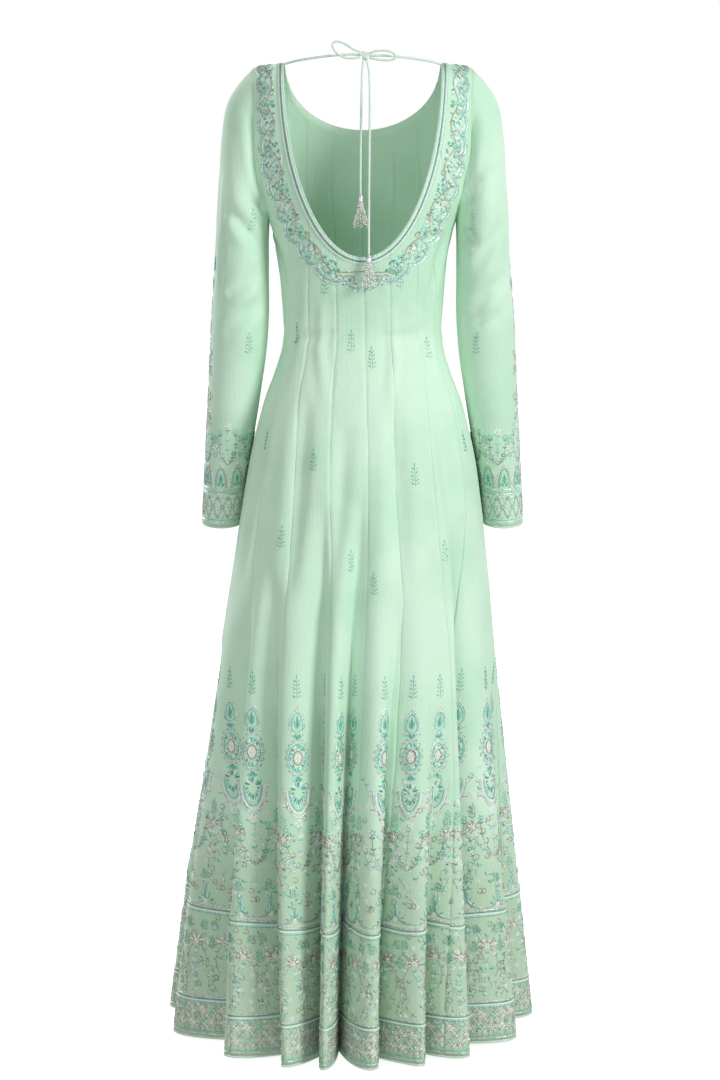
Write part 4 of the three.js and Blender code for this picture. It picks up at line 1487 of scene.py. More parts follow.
# ---------------------------------------------------------------- motifs
def sprig(tall: float = 34.0) -> Stitches:
    """A leaf sprig: open chevrons of single stitches on a fine stem, its foot at the origin."""
    work = Stitches()
    work.line([(0, 0), (0, -tall * 0.8)], TEAL, 0.35)
    rows = 5
    for row in range(rows):
        y = -tall * (0.02 + 0.8 * row / rows)
        reach = 6.4 - 0.55 * row
        for side in (-1, 1):
            finish = (TURQUOISE, TEAL)[(row + (side > 0)) % 2]
            work.leaf((side * 0.9, y), (side * reach, y - 4.2), 1.35, finish)
    work.leaf((0, -tall * 0.8), (0, -tall), 2.4, TURQUOISE)
    work.bead(0, 1.5, 1.0, PEARL, 5)
    return work


def feather(tall: float, wide: float = 4.6, sway: float = 0.06) -> Stitches:
    """A hanging feather of close herringbone stitches, its top at the origin."""
    work = Stitches()
    spine = bow_line((0, 0), (0, tall), sway, 15)
    pairs = max(6, int(tall / 4.2))
    for pair in range(pairs):
        share = pair / pairs
        at = np.array([np.interp(share, np.linspace(0, 1, 15), spine[:, k]) for k in range(2)])
        reach = wide * (0.55 + 0.45 * math.sin(math.pi * min(1.0, share * 1.15)))
        for side in (-1, 1):
            finish = (TURQUOISE, WHITE, TURQUOISE)[pair % 3]
            work.leaf(at + [side * 0.4, 4.4], at + [side * reach, 0.6], 1.8, finish)
    return work


def bouquet(wide: float = 22.0) -> Stitches:
    """A cluster of curled petals and small flowers, its middle at the origin."""
    work = Stitches()
    for petal in range(9):
        turn = math.radians(-190 + 25 * petal)
        way = np.array([math.cos(turn), math.sin(turn) * 0.8])
        long = wide * (0.62 if petal % 2 else 0.5)
        work.leaf(way * 2, way * long, 3.0, (ROSE, SILVER)[petal % 2])
        if petal % 2 == 0:
            work.line(arc(*(way * (long + 2.4)), 2.2, 2.2, 0, 300, 7), ROSE, 0.45)
    work.take(blossom(4.4, 6, WHITE))
    for side in (-1, 1):
        curl = arc(side * wide * 0.42, 4.5, 3.4, 3.4, 90 - side * 90, 90 - side * 90 + side * 280, 8)
        work.line(curl, SILVER, 0.5)
    return work


def blossom(radius: float, petals: int = 6, finish: "Finish | None" = None) -> Stitches:
    """A flower of leaf-shaped petals round a pearl."""
    work = Stitches()
    for petal in range(petals):
        turn = 2 * math.pi * petal / petals
        way = np.array([math.cos(turn), math.sin(turn)])
        work.leaf(way * radius * 0.22, way * radius, radius * 0.62, finish or WHITE, 0.8)
    work.bead(0, 0, radius * 0.26, PEARL, 6)
    return work


def lotus(wide: float = 23.0, tall: float = 31.0) -> Stitches:
    """A bud in a double outline with a scroll at each side of its foot, its foot at the origin."""
    work = Stitches()
    half = wide / 2
    for inset, finish in ((0.0, SILVER), (2.6, TURQUOISE)):
        for side in (-1, 1):
            rim = bow_line((0, -3), (side * (half * 0.8 - inset), -tall * 0.42), side * 0.3)
            tip = bow_line((side * (half * 0.8 - inset), -tall * 0.42), (0, -tall + inset * 1.6),
                           side * 0.12)
            work.line(np.concatenate([rim, tip[1:]]), finish, 0.8)
    for lean in (-1, 0, 1):
        work.leaf((lean * 1.2, -tall * 0.18), (lean * 3.8, -tall * (0.78 - 0.14 * abs(lean))), 3.0,
                  (TURQUOISE, TEAL, TURQUOISE)[lean + 1])
    for side in (-1, 1):
        scroll = arc(side * half * 0.62, -1.5, 4.2, 3.6, 90 - side * 90, 90 - side * 90 + side * 300, 12)
        work.line(scroll, SILVER, 0.6)
        work.bead(side * half * 0.62, -1.5, 1.0, PEARL, 5)
    work.dots([(0, -tall - 2), (-2.6, -tall + 1), (2.6, -tall + 1)], 1.0, STEEL, 5)
    return work


def medallion(radius: float = 21.0) -> Stitches:
    """An upright oval flower medallion in rings under a crown of leaves, its middle at the origin."""
    work = Stitches()
    rx, ry = radius * 0.62, radius
    for share, finish in ((1.0, SILVER), (0.84, TURQUOISE), (0.56, SILVER), (0.42, ROSE)):
        work.line(arc(0, 0, rx * share, ry * share, 0, 360, 22), finish, 0.85)
    petals = 16
    for petal in range(petals):
        turn = 2 * math.pi * petal / petals
        way = np.array([math.cos(turn) * rx, math.sin(turn) * ry])
        work.leaf(way * 0.58, way * 0.82, radius * 0.15, (TURQUOISE, WHITE, TEAL, TURQUOISE)[petal % 4])
        work.line(arc(way[0] * 1.1, way[1] * 1.07, 1.9, 1.9, math.degrees(turn) - 95,
                      math.degrees(turn) + 95, 5), ROSE, 0.5)
    for lean in range(-2, 3):
        for side in (-1, 1):
            foot = np.array([0, side * ry * 1.12])
            tip = foot + [lean * 4.0, side * (9.0 - 1.4 * abs(lean))]
            work.leaf(foot, tip, 2.4, (TURQUOISE, TEAL)[lean % 2])
    work.take(blossom(radius * 0.3, 6, WHITE))
    return work


def basket(wide: float = 34.0, tall: float = 44.0) -> Stitches:
    """A deep narrow bowl of nested bands holding petals, its foot at the origin."""
    work = Stitches()
    half, brim = wide / 2, -tall * 0.76
    bands = ((0.0, SILVER, 1.0), (2.6, WHITE, 1.3), (5.4, TURQUOISE, 1.0), (8.0, SILVER, 0.9))
    for inset, finish, radius in bands:
        work.line(arc(0, brim, half - inset, tall * 0.76 - inset * 1.6, 0, 180, 22), finish, radius)
    work.dots(arc(0, brim, half - 3.5, tall * 0.76 - 5.5, 6, 174, 19), 0.9, PEARL, 5)
    spokes = 9
    for spoke in range(spokes):
        turn = math.radians(14 + 152 * spoke / (spokes - 1))
        out = np.array([math.cos(turn) * half, math.sin(turn) * tall * 0.76])
        work.leaf(out * 0.3 + [0, brim], out * 0.56 + [0, brim], 2.4, (TEAL, TURQUOISE)[spoke % 2])
    for petal in range(7):
        turn = math.radians(-165 + 25 * petal)
        way = np.array([math.cos(turn), math.sin(turn)])
        finish = (TEAL, TURQUOISE, WHITE)[petal % 3]
        work.leaf(way * 3 + [0, brim], way * tall * 0.26 + [0, brim], 3.4, finish)
    for side in (-1, 1):
        work.line(arc(side * (half + 2.6), brim, 2.6, 3.2, 0, 360, 10), SILVER, 0.6)
        work.line(bow_line((side * half * 0.5, -2), (side * half * 1.2, -tall * 0.3), side * -0.3), ROSE, 0.6)
    return work


def spray(wide: float = 56.0, tall: float = 62.0) -> Stitches:
    """A branching spray of small flowers and leaves, its foot at the origin."""
    work = Stitches()
    half = wide / 2
    tips = ((-0.95, -0.52), (-0.6, -0.86), (0.0, -1.0), (0.6, -0.86), (0.95, -0.52),
            (-0.5, -0.3), (0.5, -0.3))
    for index, (sx, sy) in enumerate(tips):
        tip = np.array([half * sx, tall * sy])
        stem = bow_line((0, 0), tip, 0.12 * (1 if sx > 0 else -1 if sx < 0 else 0.0))
        work.line(stem, (SILVER, ROSE)[index % 2], 0.55)
        for share in (3, 5, 7):
            at = stem[share]
            for side in (-1, 1):
                work.leaf(at, at + np.array([side * 3.8, -2.6]), 1.9, (TEAL, TURQUOISE)[(share + index) % 2])
        work.take(blossom(4.6 if index != 2 else 6.2, 5, (WHITE, TURQUOISE)[index % 2]).placed(*tip))
    work.dots([(x, y) for x, y in ((-7, -8), (7, -8), (0, -16), (-12, -24), (12, -24))], 1.0, STEEL, 4)
    return work


def hanging_palm(tall: float = 98.0, lean: float = 0.0) -> Stitches:
    """A bouquet with feathers that hang from it, its foot at the origin."""
    work = Stitches()
    top = -tall * 0.68
    work.take(bouquet(24).placed(0, top))
    work.take(feather(tall * 0.6).placed(0, top + 7, 10 + lean))
    for side in (-1, 1):
        stem = bow_line((side * 2, top - 4), (side * 12, top - tall * 0.2), side * 0.2)
        work.line(stem, SILVER, 0.45)
        work.take(sprig(15).placed(side * 12, top - tall * 0.16, side * 18))
        tail = bow_line((side * 5, top + 4), (side * 11, top + tall * 0.42), side * -0.18, 12)
        work.line(tail, ROSE, 0.5)
        for at in tail[3::3]:
            work.leaf(at, at + [side * 3.6, -2.4], 1.7, TEAL)
            work.leaf(at, at + [-side * 2.8, -2.8], 1.5, SILVER)
    return work


def scroll_vine(tall: float = 88.0, sway: float = 9.0) -> Stitches:
    """A climbing vine with curls, leaves and two flowers, its foot at the origin."""
    work = Stitches()
    share = np.linspace(0, 1, 30)
    stem = np.stack([sway * np.sin(2 * math.pi * share * 1.4), -tall * share], axis=-1)
    work.line(stem, SILVER, 0.6)
    for index, place in enumerate((3, 7, 11, 15, 19, 23, 27)):
        at, side = stem[place], (-1 if index % 2 else 1)
        curl = arc(at[0] + side * 4.2, at[1], 4.2, 3.8, 90 + side * 90, 90 + side * 90 + side * 260, 9)
        work.line(curl, ROSE, 0.5)
        for lean in (-1.0, 0.4):
            work.leaf(at, at + np.array([-side * 5.2, -3.4 + lean * 3]), 2.2, (TURQUOISE, TEAL)[index % 2])
    work.take(blossom(5.4, 5).placed(stem[17][0] + 5, stem[17][1]), blossom(4.6, 5, ROSE).placed(*stem[-1]))
    return work


def filler(kind: int) -> Stitches:
    """One of five small fillers: a curl, leaf pair, flower, tendril or bead group."""
    work = Stitches()
    if kind == 0:
        work.line(arc(0, 0, 3.6, 3.6, 0, 300, 8), ROSE, 0.65)
        work.bead(0, 0, 0.9, PEARL, 4)
    elif kind == 1:
        work.leaf((0, 0), (-4.2, -4.6), 2.0, TURQUOISE)
        work.leaf((0, 0), (4.2, -4.6), 2.0, TEAL)
        work.line([(0, 0), (0, 6)], SILVER, 0.4)
    elif kind == 2:
        work.take(blossom(3.8, 5, WHITE))
    elif kind == 3:
        work.line(np.stack([3.2 * np.sin(np.linspace(0, 6, 10)), np.linspace(-9, 9, 10)], -1), SILVER, 0.7)
        work.leaf((1, -3), (5, -6), 1.6, TEAL)
    else:
        work.dots([(0, 0), (2.4, 1.2), (-2.2, 1.6), (0.4, -2.6)], 0.8, STEEL, 4)
    return work


def motif_column(room: float, variant: int) -> Stitches:
    """The column of motifs above the hem bands of one kali.

    Args:
        room: the kali's width where the column is widest.
        variant: the kali's number, for small differences.

    Returns:
        Stitches with y as the drop and x from the kali's centre line.
    """
    scale = min(1.12, room / 50.0)
    work = Stitches()
    work.take(sprig(33).placed(0, 878, scale=min(1.0, scale + 0.1)))
    work.take(lotus().placed(0, 927, scale=scale))
    work.take(medallion(20 + variant % 2).placed(0, 957 + variant % 3, scale=scale))
    work.take(basket(34, 44).placed(0, 1040, scale=scale))
    work.take(spray(58, 58).placed(0, 1112, scale=scale))
    return work


# ---------------------------------------------------------------- where the embroidery lies
@dataclass
class HemWork:
    """The worked border of one kali: motif columns, arches, hanging feathers and the trellis band."""

    kali: Kali
    arch_drop: float = 1191.0
    trellis_top: float = 1316.0
    trellis_end: float = 1364.0
    cell: float = 16.0
    arch: float = 46.0
    column_room: float = 66.0
    scatter_from: float = 985.0
    upper_spacing: float = 11.6
    lower_spacing: float = 11.5
    flower_drop: float = 1024.0
    sprig_drop: float = 1056.0
    bouquet_drop: float = 1068.0
    vine_foot: float = 1150.0

    def stitches(self, chart: Chart) -> Stitches:
        """All the stitches of the border.

        Args:
            chart: the kali laid flat.

        Returns:
            The stitches, x from the kali's centre line and y the drop.
        """
        work = Stitches()
        columns = max(1, round(float(chart.width_at(1010)) / self.column_room))
        for column in range(columns):
            share = (column + 0.5) / columns - 0.5
            room = float(chart.width_at(1010)) / columns
            part = motif_column(room, self.kali.index + column)
            work.take(self._follow(part, chart, share))
        work.take(self._bands(chart), self._arches(chart), self._field(chart), self._trellis(chart))
        for column in range(columns + 1):
            share = min(max(column / columns, 0.07), 0.93) - 0.5
            work.take(self._follow(self._between(column), chart, share))
        work.take(self._scatter(chart, (self.scatter_from, self.arch_drop - 30), self.upper_spacing))
        return work

    def _between(self, column: int) -> Stitches:
        """Vines, small flowers and a bouquet that climb between two columns."""
        work = Stitches()
        sway = 3.2 + 1.2 * math.sin(self.kali.index + 2.1 * column)
        work.take(scroll_vine(84, sway).placed(0, self.vine_foot, 0, 0.92, mirror=bool(column % 2)))
        work.take(bouquet(17).placed(0, self.bouquet_drop), sprig(22).placed(0, self.sprig_drop),
                  blossom(4.2, 6, WHITE).placed(0, self.flower_drop))
        return work

    def _follow(self, part: Stitches, chart: Chart, share: float) -> Stitches:
        """Shift stitches sideways so that they keep to a share of the kali's width."""
        moved = Stitches()
        for finish, points, triangles in part.parts:
            shifted = points.copy()
            shifted[:, 0] += share * chart.width_at(points[:, 1])
            moved.parts.append((finish, shifted, triangles))
        return moved

    def _across(self, chart: Chart, y: Callable[[Array], Array] | float, count: int = 60) -> Array:
        """Points of a line from seam to seam at a drop."""
        share = np.linspace(-0.5, 0.5, count)
        drop = y(share) if callable(y) else np.full(count, float(y))
        return np.stack([share * chart.width_at(drop), drop], axis=-1)

    def _bands(self, chart: Chart) -> Stitches:
        """The wavy double band over the field and the straight one over the trellis."""
        work = Stitches()
        phase = 0.9 * self.kali.index
        wave = lambda share: self.arch_drop + 2.4 * np.sin(2 * math.pi * share + phase)
        rows = ((-3.4, SILVER, 1.1), (-0.6, TEAL, 0.8), (2.4, WHITE, 1.4), (5.4, TURQUOISE, 0.9))
        for offset, finish, radius in rows:
            work.line(self._across(chart, lambda share: wave(share) + offset), finish, radius)
            work.line(self._across(chart, self.trellis_top + offset * 0.9), finish, radius)
        for y in (self.trellis_end, self.trellis_end - 3.4):
            work.line(self._across(chart, y), (SILVER, TURQUOISE)[int(y < self.trellis_end)], 0.9)
        beads = max(8, int(chart.width_at(self.arch_drop) / 3.4))
        line = self._across(chart, lambda share: wave(share) - 6.2, beads)
        work.dots(line, 1.05, PEARL, 5)
        return work

    def _arches(self, chart: Chart) -> Stitches:
        """Scallops with a fan of leaves, standing on the wavy band."""
        width = float(chart.width_at(self.arch_drop))
        count = max(1, round(width / self.arch))
        wide = width / count
        high, half = 34.0, wide / 2 - 0.6
        single = Stitches()
        rims = ((0.0, SILVER, 0.8), (3.0, TURQUOISE, 1.2), (6.4, SILVER, 0.8), (9.0, ROSE, 0.6))
        for inset, finish, radius in rims:
            for side in (-1, 1):
                peak = (side * 3.0, -high + inset * 1.3)
                shoulder = bow_line((side * (half - inset), 0), peak, side * -0.3, 12)
                single.line(shoulder, finish, radius)
        for petal in range(5):
            turn = math.radians(205 + 32.5 * petal)
            way = np.array([math.cos(turn) * (half - 9), math.sin(turn) * (high - 13)])
            single.leaf(way * 0.3, way, 2.8, (TEAL, TURQUOISE)[petal % 2])
        single.take(blossom(4.0, 6, WHITE).placed(0, -4), sprig(15).placed(0, -high - 1))
        for side in (-1, 1):
            single.line(arc(side * (half - 2), -high * 0.72, 3.6, 3.6, 0, 300, 10), ROSE, 0.65)
            single.leaf((side * 5, -high - 2), (side * 10, -high - 7), 2.2, TURQUOISE)
        work = Stitches()
        for place in range(count):
            x = (place + 0.5) * wide - width / 2
            work.take(single.placed(x, self.arch_drop - 8.4))
        return work

    def _field(self, chart: Chart) -> Stitches:
        """Bouquets with hanging feathers, vines and sprigs between the two bands."""
        work = Stitches()
        foot = self.trellis_top - 6.0
        width = float(chart.width_at(foot - 40))
        count = max(1, round(width / 44.0))
        for place in range(count):
            share = (place + 0.5) / count - 0.5
            lean = 9.0 * math.sin(2.1 * self.kali.index + 1.3 * place)
            fitted = min(1.0, width / count / 36.0)
            work.take(hanging_palm(104, lean).placed(share * width * 0.97, foot - 4, 0, max(0.7, fitted),
                                                     mirror=bool((place + self.kali.index) % 2)))
            x = (share + 0.5 / count) * width * 0.94
            work.take(scroll_vine(62, 5).placed(x, foot, -lean, 0.8), sprig(18).placed(x, foot - 66, lean))
        return work.take(self._scatter(chart, (self.arch_drop + 12, foot - 2), self.lower_spacing))

    def _scatter(self, chart: Chart, span: tuple[float, float], spacing: float) -> Stitches:
        """Small fillers spread over the ground.

        Args:
            chart: the kali laid flat.
            span: the highest and the lowest drop.
            spacing: the distance between fillers.

        Returns:
            The fillers.
        """
        work = Stitches()
        rng = np.random.default_rng(100 + self.kali.index)
        for row, drop in enumerate(np.arange(span[0], span[1], spacing)):
            width = float(chart.width_at(drop))
            count = int(width / (spacing * 1.5))
            thin = smooth((drop - span[0]) / 120) if span[0] < self.arch_drop - 60 else 1.0
            for place in range(count):
                keep, jitter_x, jitter_y, kind, turn = rng.random(5)
                if keep > 0.35 + 0.6 * float(thin):
                    continue
                share = (place + 0.5 + 0.5 * (row % 2)) / count - 0.5
                x = share * width + (jitter_x - 0.5) * spacing * 0.7
                if abs(x) > width / 2 - 4:
                    continue
                y = drop + (jitter_y - 0.5) * spacing * 0.6
                work.take(filler(int(kind * 5)).placed(x, y, turn * 70 - 35))
        return work

    def _trellis(self, chart: Chart) -> Stitches:
        """A lattice of diamonds with a small flower in each."""
        work = Stitches()
        top, low = self.trellis_top + 5.5, self.trellis_end - 6.5
        rows = 2
        width = float(chart.width_at((top + low) / 2))
        cells = max(2, round(width / self.cell))
        high = (low - top) / rows
        for start in range(-rows, cells):
            for way in (1, -1):
                share = np.linspace(0, 1, 14) * rows
                cell = start + share if way > 0 else start + rows - share
                drop = top + share * high
                inside = (cell >= -1e-6) & (cell <= cells + 1e-6)
                if inside.sum() > 1:
                    x = (cell[inside] / cells - 0.5) * chart.width_at(drop[inside])
                    work.line(np.stack([x, drop[inside]], -1), (SILVER, ROSE)[int(way > 0)], 0.75)
        for row in range(rows * 2 + 1):
            for cell in range(cells + 1):
                at = cell + (0.5 if row % 2 else 0.0)
                if at > cells - 0.2 or at < 0.2:
                    continue
                y = min(max(top + high * row / 2, top + 1.5), low - 1.5)
                x = (at / cells - 0.5) * float(chart.width_at(y))
                finish = (SILVER, TURQUOISE, WHITE)[(cell + row) % 3]
                work.take(blossom(5.0 if row % 2 else 3.6, 6 if row % 2 else 4, finish).placed(x, y))
                work.line(arc(x, y, 5.6, 5.6, 0, 360, 8), (ROSE, SILVER)[row % 2], 0.5)
        work.dots(self._across(chart, self.trellis_top + 4.6, cells * 3), 0.9, PEARL, 4)
        return work


@dataclass
class Sprigs:
    """Leaf sprigs scattered over the bodice and skirt."""

    body: Body
    tall: float = 32.0
    back: tuple[tuple[float, float], ...] = (
        (53, 307), (-53, 298), (92, 377), (18, 387), (-14, 410), (-92, 397), (137, 526), (68, 551),
        (-73, 571), (-142, 529), (111, 658), (18, 689), (-22, 720), (-116, 678))
    front: tuple[tuple[float, float], ...] = (
        (48, 262), (-48, 270), (96, 366), (22, 350), (-30, 398), (-88, 380), (132, 530), (60, 566), (-6, 520),
        (-78, 560), (-136, 540), (104, 672), (24, 700), (-40, 664), (-122, 690))

    def places(self) -> list[tuple[int, float, float]]:
        """Kali, share of its width, and drop of each sprig."""
        found = []
        for half, spots in ((Half.BACK, self.back), (Half.FRONT, self.front)):
            for x, drop in spots:
                angle = float(self.body.angle_at_width(np.array(x), np.array(drop), half))
                for index in range(KALIS):
                    low = float(self.body.seam_angle(index, drop))
                    high = float(self.body.seam_angle(index + 1, drop))
                    turned = low + (angle - low) % 360
                    if turned < high:
                        found.append((index, (turned - low) / (high - low) - 0.5, float(drop)))
        return found


@dataclass
class NeckWork:
    """The corded binding and the scalloped border round the neckline."""

    edge: NeckEdge
    scallop: float = 28.0
    inner: float = 14.5
    outer: float = 48.0

    def _x(self, chart: Chart, away: Array, y: Array) -> Array:
        """Flat x of a distance out from the edge, drawn in where the strap is narrow."""
        room = chart.width_at(y)
        return away * room / self.edge.wide - room / 2

    def _fit(self, work: Stitches, chart: Chart) -> Stitches:
        """Turn stitches drawn as (distance out, distance along) into the chart's x and y."""
        fitted = Stitches()
        for finish, points, triangles in work.parts:
            moved = points.copy()
            moved[:, 0] = self._x(chart, points[:, 0], points[:, 1])
            fitted.parts.append((finish, moved, triangles))
        return fitted

    def cords(self, chart: Chart) -> Stitches:
        """Three rows of wound cord next to the edge, between two rows of small beads."""
        work = Stitches()
        along = np.linspace(0, self.edge.length, 160)
        rows = ((3.6, WHITE, 1.15), (6.2, TEAL, 1.15), (8.8, WHITE, 1.15))
        for away, finish, radius in rows:
            work.line(np.stack([np.full(160, away), along], -1), finish, radius, 2.6)
        for away in (1.3, 11.2):
            work.dots([(away, y) for y in np.arange(1.5, self.edge.length - 1.5, 3.0)], 1.25, AQUA, 5)
        return self._fit(work, chart)

    def border(self, chart: Chart) -> Stitches:
        """Scallops of vine, flowers and stones."""
        work = Stitches()
        count = max(1, round(self.edge.length / self.scallop - 0.5))
        tall = self.edge.length / (count + 0.5)
        for place in range(count + 1):
            middle = place * tall
            half = tall / 2
            outline = arc(self.outer - 11, middle, 10.4, half, -90, 90, 14)
            for inset, finish, radius in ((0.0, SILVER, 1.2), (3.0, TURQUOISE, 0.9), (5.4, SILVER, 0.8)):
                line = outline - [inset, 0]
                line = line[(line[:, 1] >= 0) & (line[:, 1] <= self.edge.length)]
                if len(line) > 1:
                    work.line(line, finish, radius)
            beads = [at for at in outline[1::2] + [1.6, 0] if 1 < at[1] < self.edge.length - 1]
            work.dots(beads, 0.8, AQUA, 4)
            self._lobe(work, middle, half, place)
        return self._fit(work, chart)

    def _lobe(self, work: Stitches, middle: float, half: float, place: int) -> None:
        """What fills one scallop: scrolls, leaves and, now and then, a cluster of stones.

        Args:
            work: the stitches it adds to.
            middle: how far along the edge the lobe's middle is.
            half: half the lobe's length.
            place: the lobe's number.
        """
        rng = np.random.default_rng(40 + place + 20 * (self.edge.half is Half.FRONT))
        inside = lambda at, room: room < at < self.edge.length - room
        share = np.linspace(-1, 1, 17)
        vine = np.stack([self.inner + 10 + (5.5 if place % 2 else -4.5) * np.cos(math.pi * share / 2),
                         middle + half * share], -1)
        vine = vine[(vine[:, 1] >= 0) & (vine[:, 1] <= self.edge.length)]
        if len(vine) > 1:
            work.line(vine, ROSE, 0.95)
        for curl in range(6):
            y = abs(middle + half * (-0.85 + 0.34 * curl) + rng.uniform(-2, 2))
            away = self.inner + rng.uniform(5, 24)
            if inside(y, 6):
                size = rng.uniform(3.0, 4.6)
                work.line(arc(away, y, size, size, 90 * (curl % 2) * 2, 290 + 180 * (curl % 2), 10),
                          (ROSE, SILVER, TURQUOISE, ROSE, WHITE, SILVER)[curl], 0.85)
        for leaf in range(22):
            y, away = abs(middle + half * rng.uniform(-1, 1)), self.inner + rng.uniform(2, 25)
            if inside(y, 6.5):
                turn = math.radians(rng.uniform(-70, 70))
                tip = (away + 6.0 * math.cos(turn), y + 6.0 * math.sin(turn))
                work.leaf((away, y), tip, 3.2, (TURQUOISE, TEAL, AQUA_LEAF)[leaf % 3])
        if place % 2 == 0 and inside(middle, 8):
            away = self.outer - 19
            work.take(blossom(5.4, 6, WHITE).placed(away, middle))
            work.dots(arc(away, middle, 6.8, 6.8, 0, 320, 8), 1.3, PEARL, 5)
        elif inside(middle, 8):
            work.take(blossom(5.6, 5, TURQUOISE).placed(self.outer - 19, middle))


@dataclass
class CuffWork:
    """The worked cuff and outer column of one sleeve."""

    form: SleeveForm
    trellis_top: float = 606.0
    trellis_end: float = 644.0
    arch_drop: float = 600.0
    sprig_drops: tuple[float, ...] = (219.0, 391.0)

    def _around(self, chart: Chart, y: float, count: int = 90) -> Array:
        """Points of a line round the sleeve at a drop."""
        share = np.linspace(-0.5, 0.5, count)
        return np.stack([share * chart.width_at(y), np.full(count, y)], axis=-1)

    def stitches(self, chart: Chart) -> Stitches:
        """All the stitches of the sleeve.

        Args:
            chart: the sleeve laid flat.

        Returns:
            The stitches, x from the outer line and y the drop.
        """
        work = Stitches()
        for y, finish, radius in ((self.arch_drop - 3.2, SILVER, 1.0), (self.arch_drop, TURQUOISE, 0.8),
                                  (self.arch_drop + 3.2, SILVER, 1.0), (self.trellis_end, SILVER, 1.0),
                                  (self.trellis_end - 3.2, TURQUOISE, 0.8)):
            work.line(self._around(chart, y), finish, radius)
        work.take(self._trellis(chart), self._arches(chart), self._flowers(chart), self._column())
        return work

    def _trellis(self, chart: Chart) -> Stitches:
        """Diamonds with small flowers, all round."""
        work = Stitches()
        top, low = self.trellis_top, self.trellis_end - 5.5
        width = float(chart.width_at((top + low) / 2))
        cells = round(width / 15.0)
        for cell in range(cells):
            x = [((cell + part) / cells - 0.5) * width for part in (0, 0.5, 1)]
            middle = (top + low) / 2
            for line in ([(x[0], middle), (x[1], top), (x[2], middle)],
                         [(x[0], middle), (x[1], low), (x[2], middle)]):
                work.line(line, SILVER, 0.75)
            work.line([(x[0], top), (x[1], middle), (x[0], low)], ROSE, 0.6)
            work.line([(x[2], top), (x[1], middle), (x[2], low)], ROSE, 0.6)
            work.take(blossom(4.6, 6, TURQUOISE).placed(x[1], middle),
                      blossom(3.4, 4, TEAL).placed(x[0], top + 3),
                      blossom(3.4, 4, TEAL).placed(x[0], low - 3))
        return work

    def _arches(self, chart: Chart) -> Stitches:
        """Scallops over the cuff band."""
        work = Stitches()
        width = float(chart.width_at(self.arch_drop - 20))
        count = round(width / 23.0)
        wide = width / count
        for place in range(count):
            x = (place + 0.5) * wide - width / 2
            for inset, finish in ((0.6, SILVER), (3.4, ROSE), (5.4, TURQUOISE)):
                work.line(arc(x, self.arch_drop - 6, wide / 2 - inset, 32 - inset, 180, 360, 14), finish, 0.7)
            for petal in range(5):
                turn = math.radians(200 + 35 * petal)
                way = np.array([math.cos(turn) * (wide / 2 - 6.5), math.sin(turn) * 22])
                foot = np.array([x, self.arch_drop - 6])
                work.leaf(foot + way * 0.2, foot + way, 3.2, (TEAL, TURQUOISE)[petal % 2])
            work.bead(x, self.arch_drop - 40, 1.4, PEARL, 5)
        return work

    def _flowers(self, chart: Chart) -> Stitches:
        """Small sprays above the scallops."""
        work = Stitches()
        width = float(chart.width_at(540))
        count = max(3, round(width / 40.0))
        for place in range(count):
            x = ((place + 0.5) / count - 0.5) * width
            work.take(spray(34, 46 + 8 * (place % 2)).placed(x, 562, 4 * math.sin(3.1 * place)))
            work.take(blossom(4.2, 5, ROSE).placed(x + width / count / 2, 548))
            work.take(sprig(17).placed(x + width / count / 2, 536))
        return work

    def _column(self) -> Stitches:
        """The column up the outer line of the sleeve."""
        work = Stitches()
        work.take(basket(34, 36).placed(0, 520), medallion(14).placed(0, 466), lotus(20, 26).placed(0, 447),
                  sprig(26).placed(0, 416), medallion(12).placed(0, 368), basket(26, 28).placed(0, 404, 180),
                  sprig(24).placed(0, 350), lotus(16, 20).placed(0, 318), sprig(22).placed(0, 290))
        for side in (-1, 1):
            work.take(scroll_vine(60, 6).placed(side * 19, 512, side * -4, 0.8, side < 0))
            work.take(scroll_vine(52, 5).placed(side * 15, 440, side * -3, 0.7, side < 0))
        return work


def embroider(body: Body, kalis: list[Kali], sleeves: list[SleeveForm]) -> None:
    """Lay all the embroidery.

    Args:
        body: the form of the gown.
        kalis: its panels.
        sleeves: the forms of its sleeves.
    """
    charts = [kali.chart() for kali in kalis]
    sprigs = Embroidery("bodice_sprigs")
    for index, share, drop in Sprigs(body).places():
        chart = charts[index]
        x = share * float(chart.width_at(drop))
        work = sprig(32).placed(x, drop + 16, scale=min(1.0, float(chart.width_at(drop)) / 30))
        sprigs.add(work, chart)
    sprigs.build()
    for first in range(0, KALIS, 2):
        border = Embroidery(f"hem_border_{first // 2 + 1}")
        for kali, chart in zip(kalis[first:first + 2], charts[first:first + 2]):
            border.add(HemWork(kali).stitches(chart), chart)
        border.build()
    binding, neck = Embroidery("neck_binding_cords"), Embroidery("neck_border")
    for half in Half:
        edge = NeckEdge(body, half)
        for side in Side:
            chart = edge.chart(side)
            binding.add(NeckWork(edge).cords(chart), chart)
            neck.add(NeckWork(edge).border(chart), chart)
    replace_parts(binding.build(), "neck_binding")
    neck.build()
    for form in sleeves:
        cuff = Embroidery(f"cuff_work_{form.side.word}")
        chart = form.chart()
        cuff.add(CuffWork(form).stitches(chart), chart)
        for drop in CuffWork.sprig_drops:
            for turn in (-1, 1):
                cuff.add(sprig(32).placed(turn * 0.31 * float(chart.width_at(drop)), drop + 16), chart)
        cuff.build()


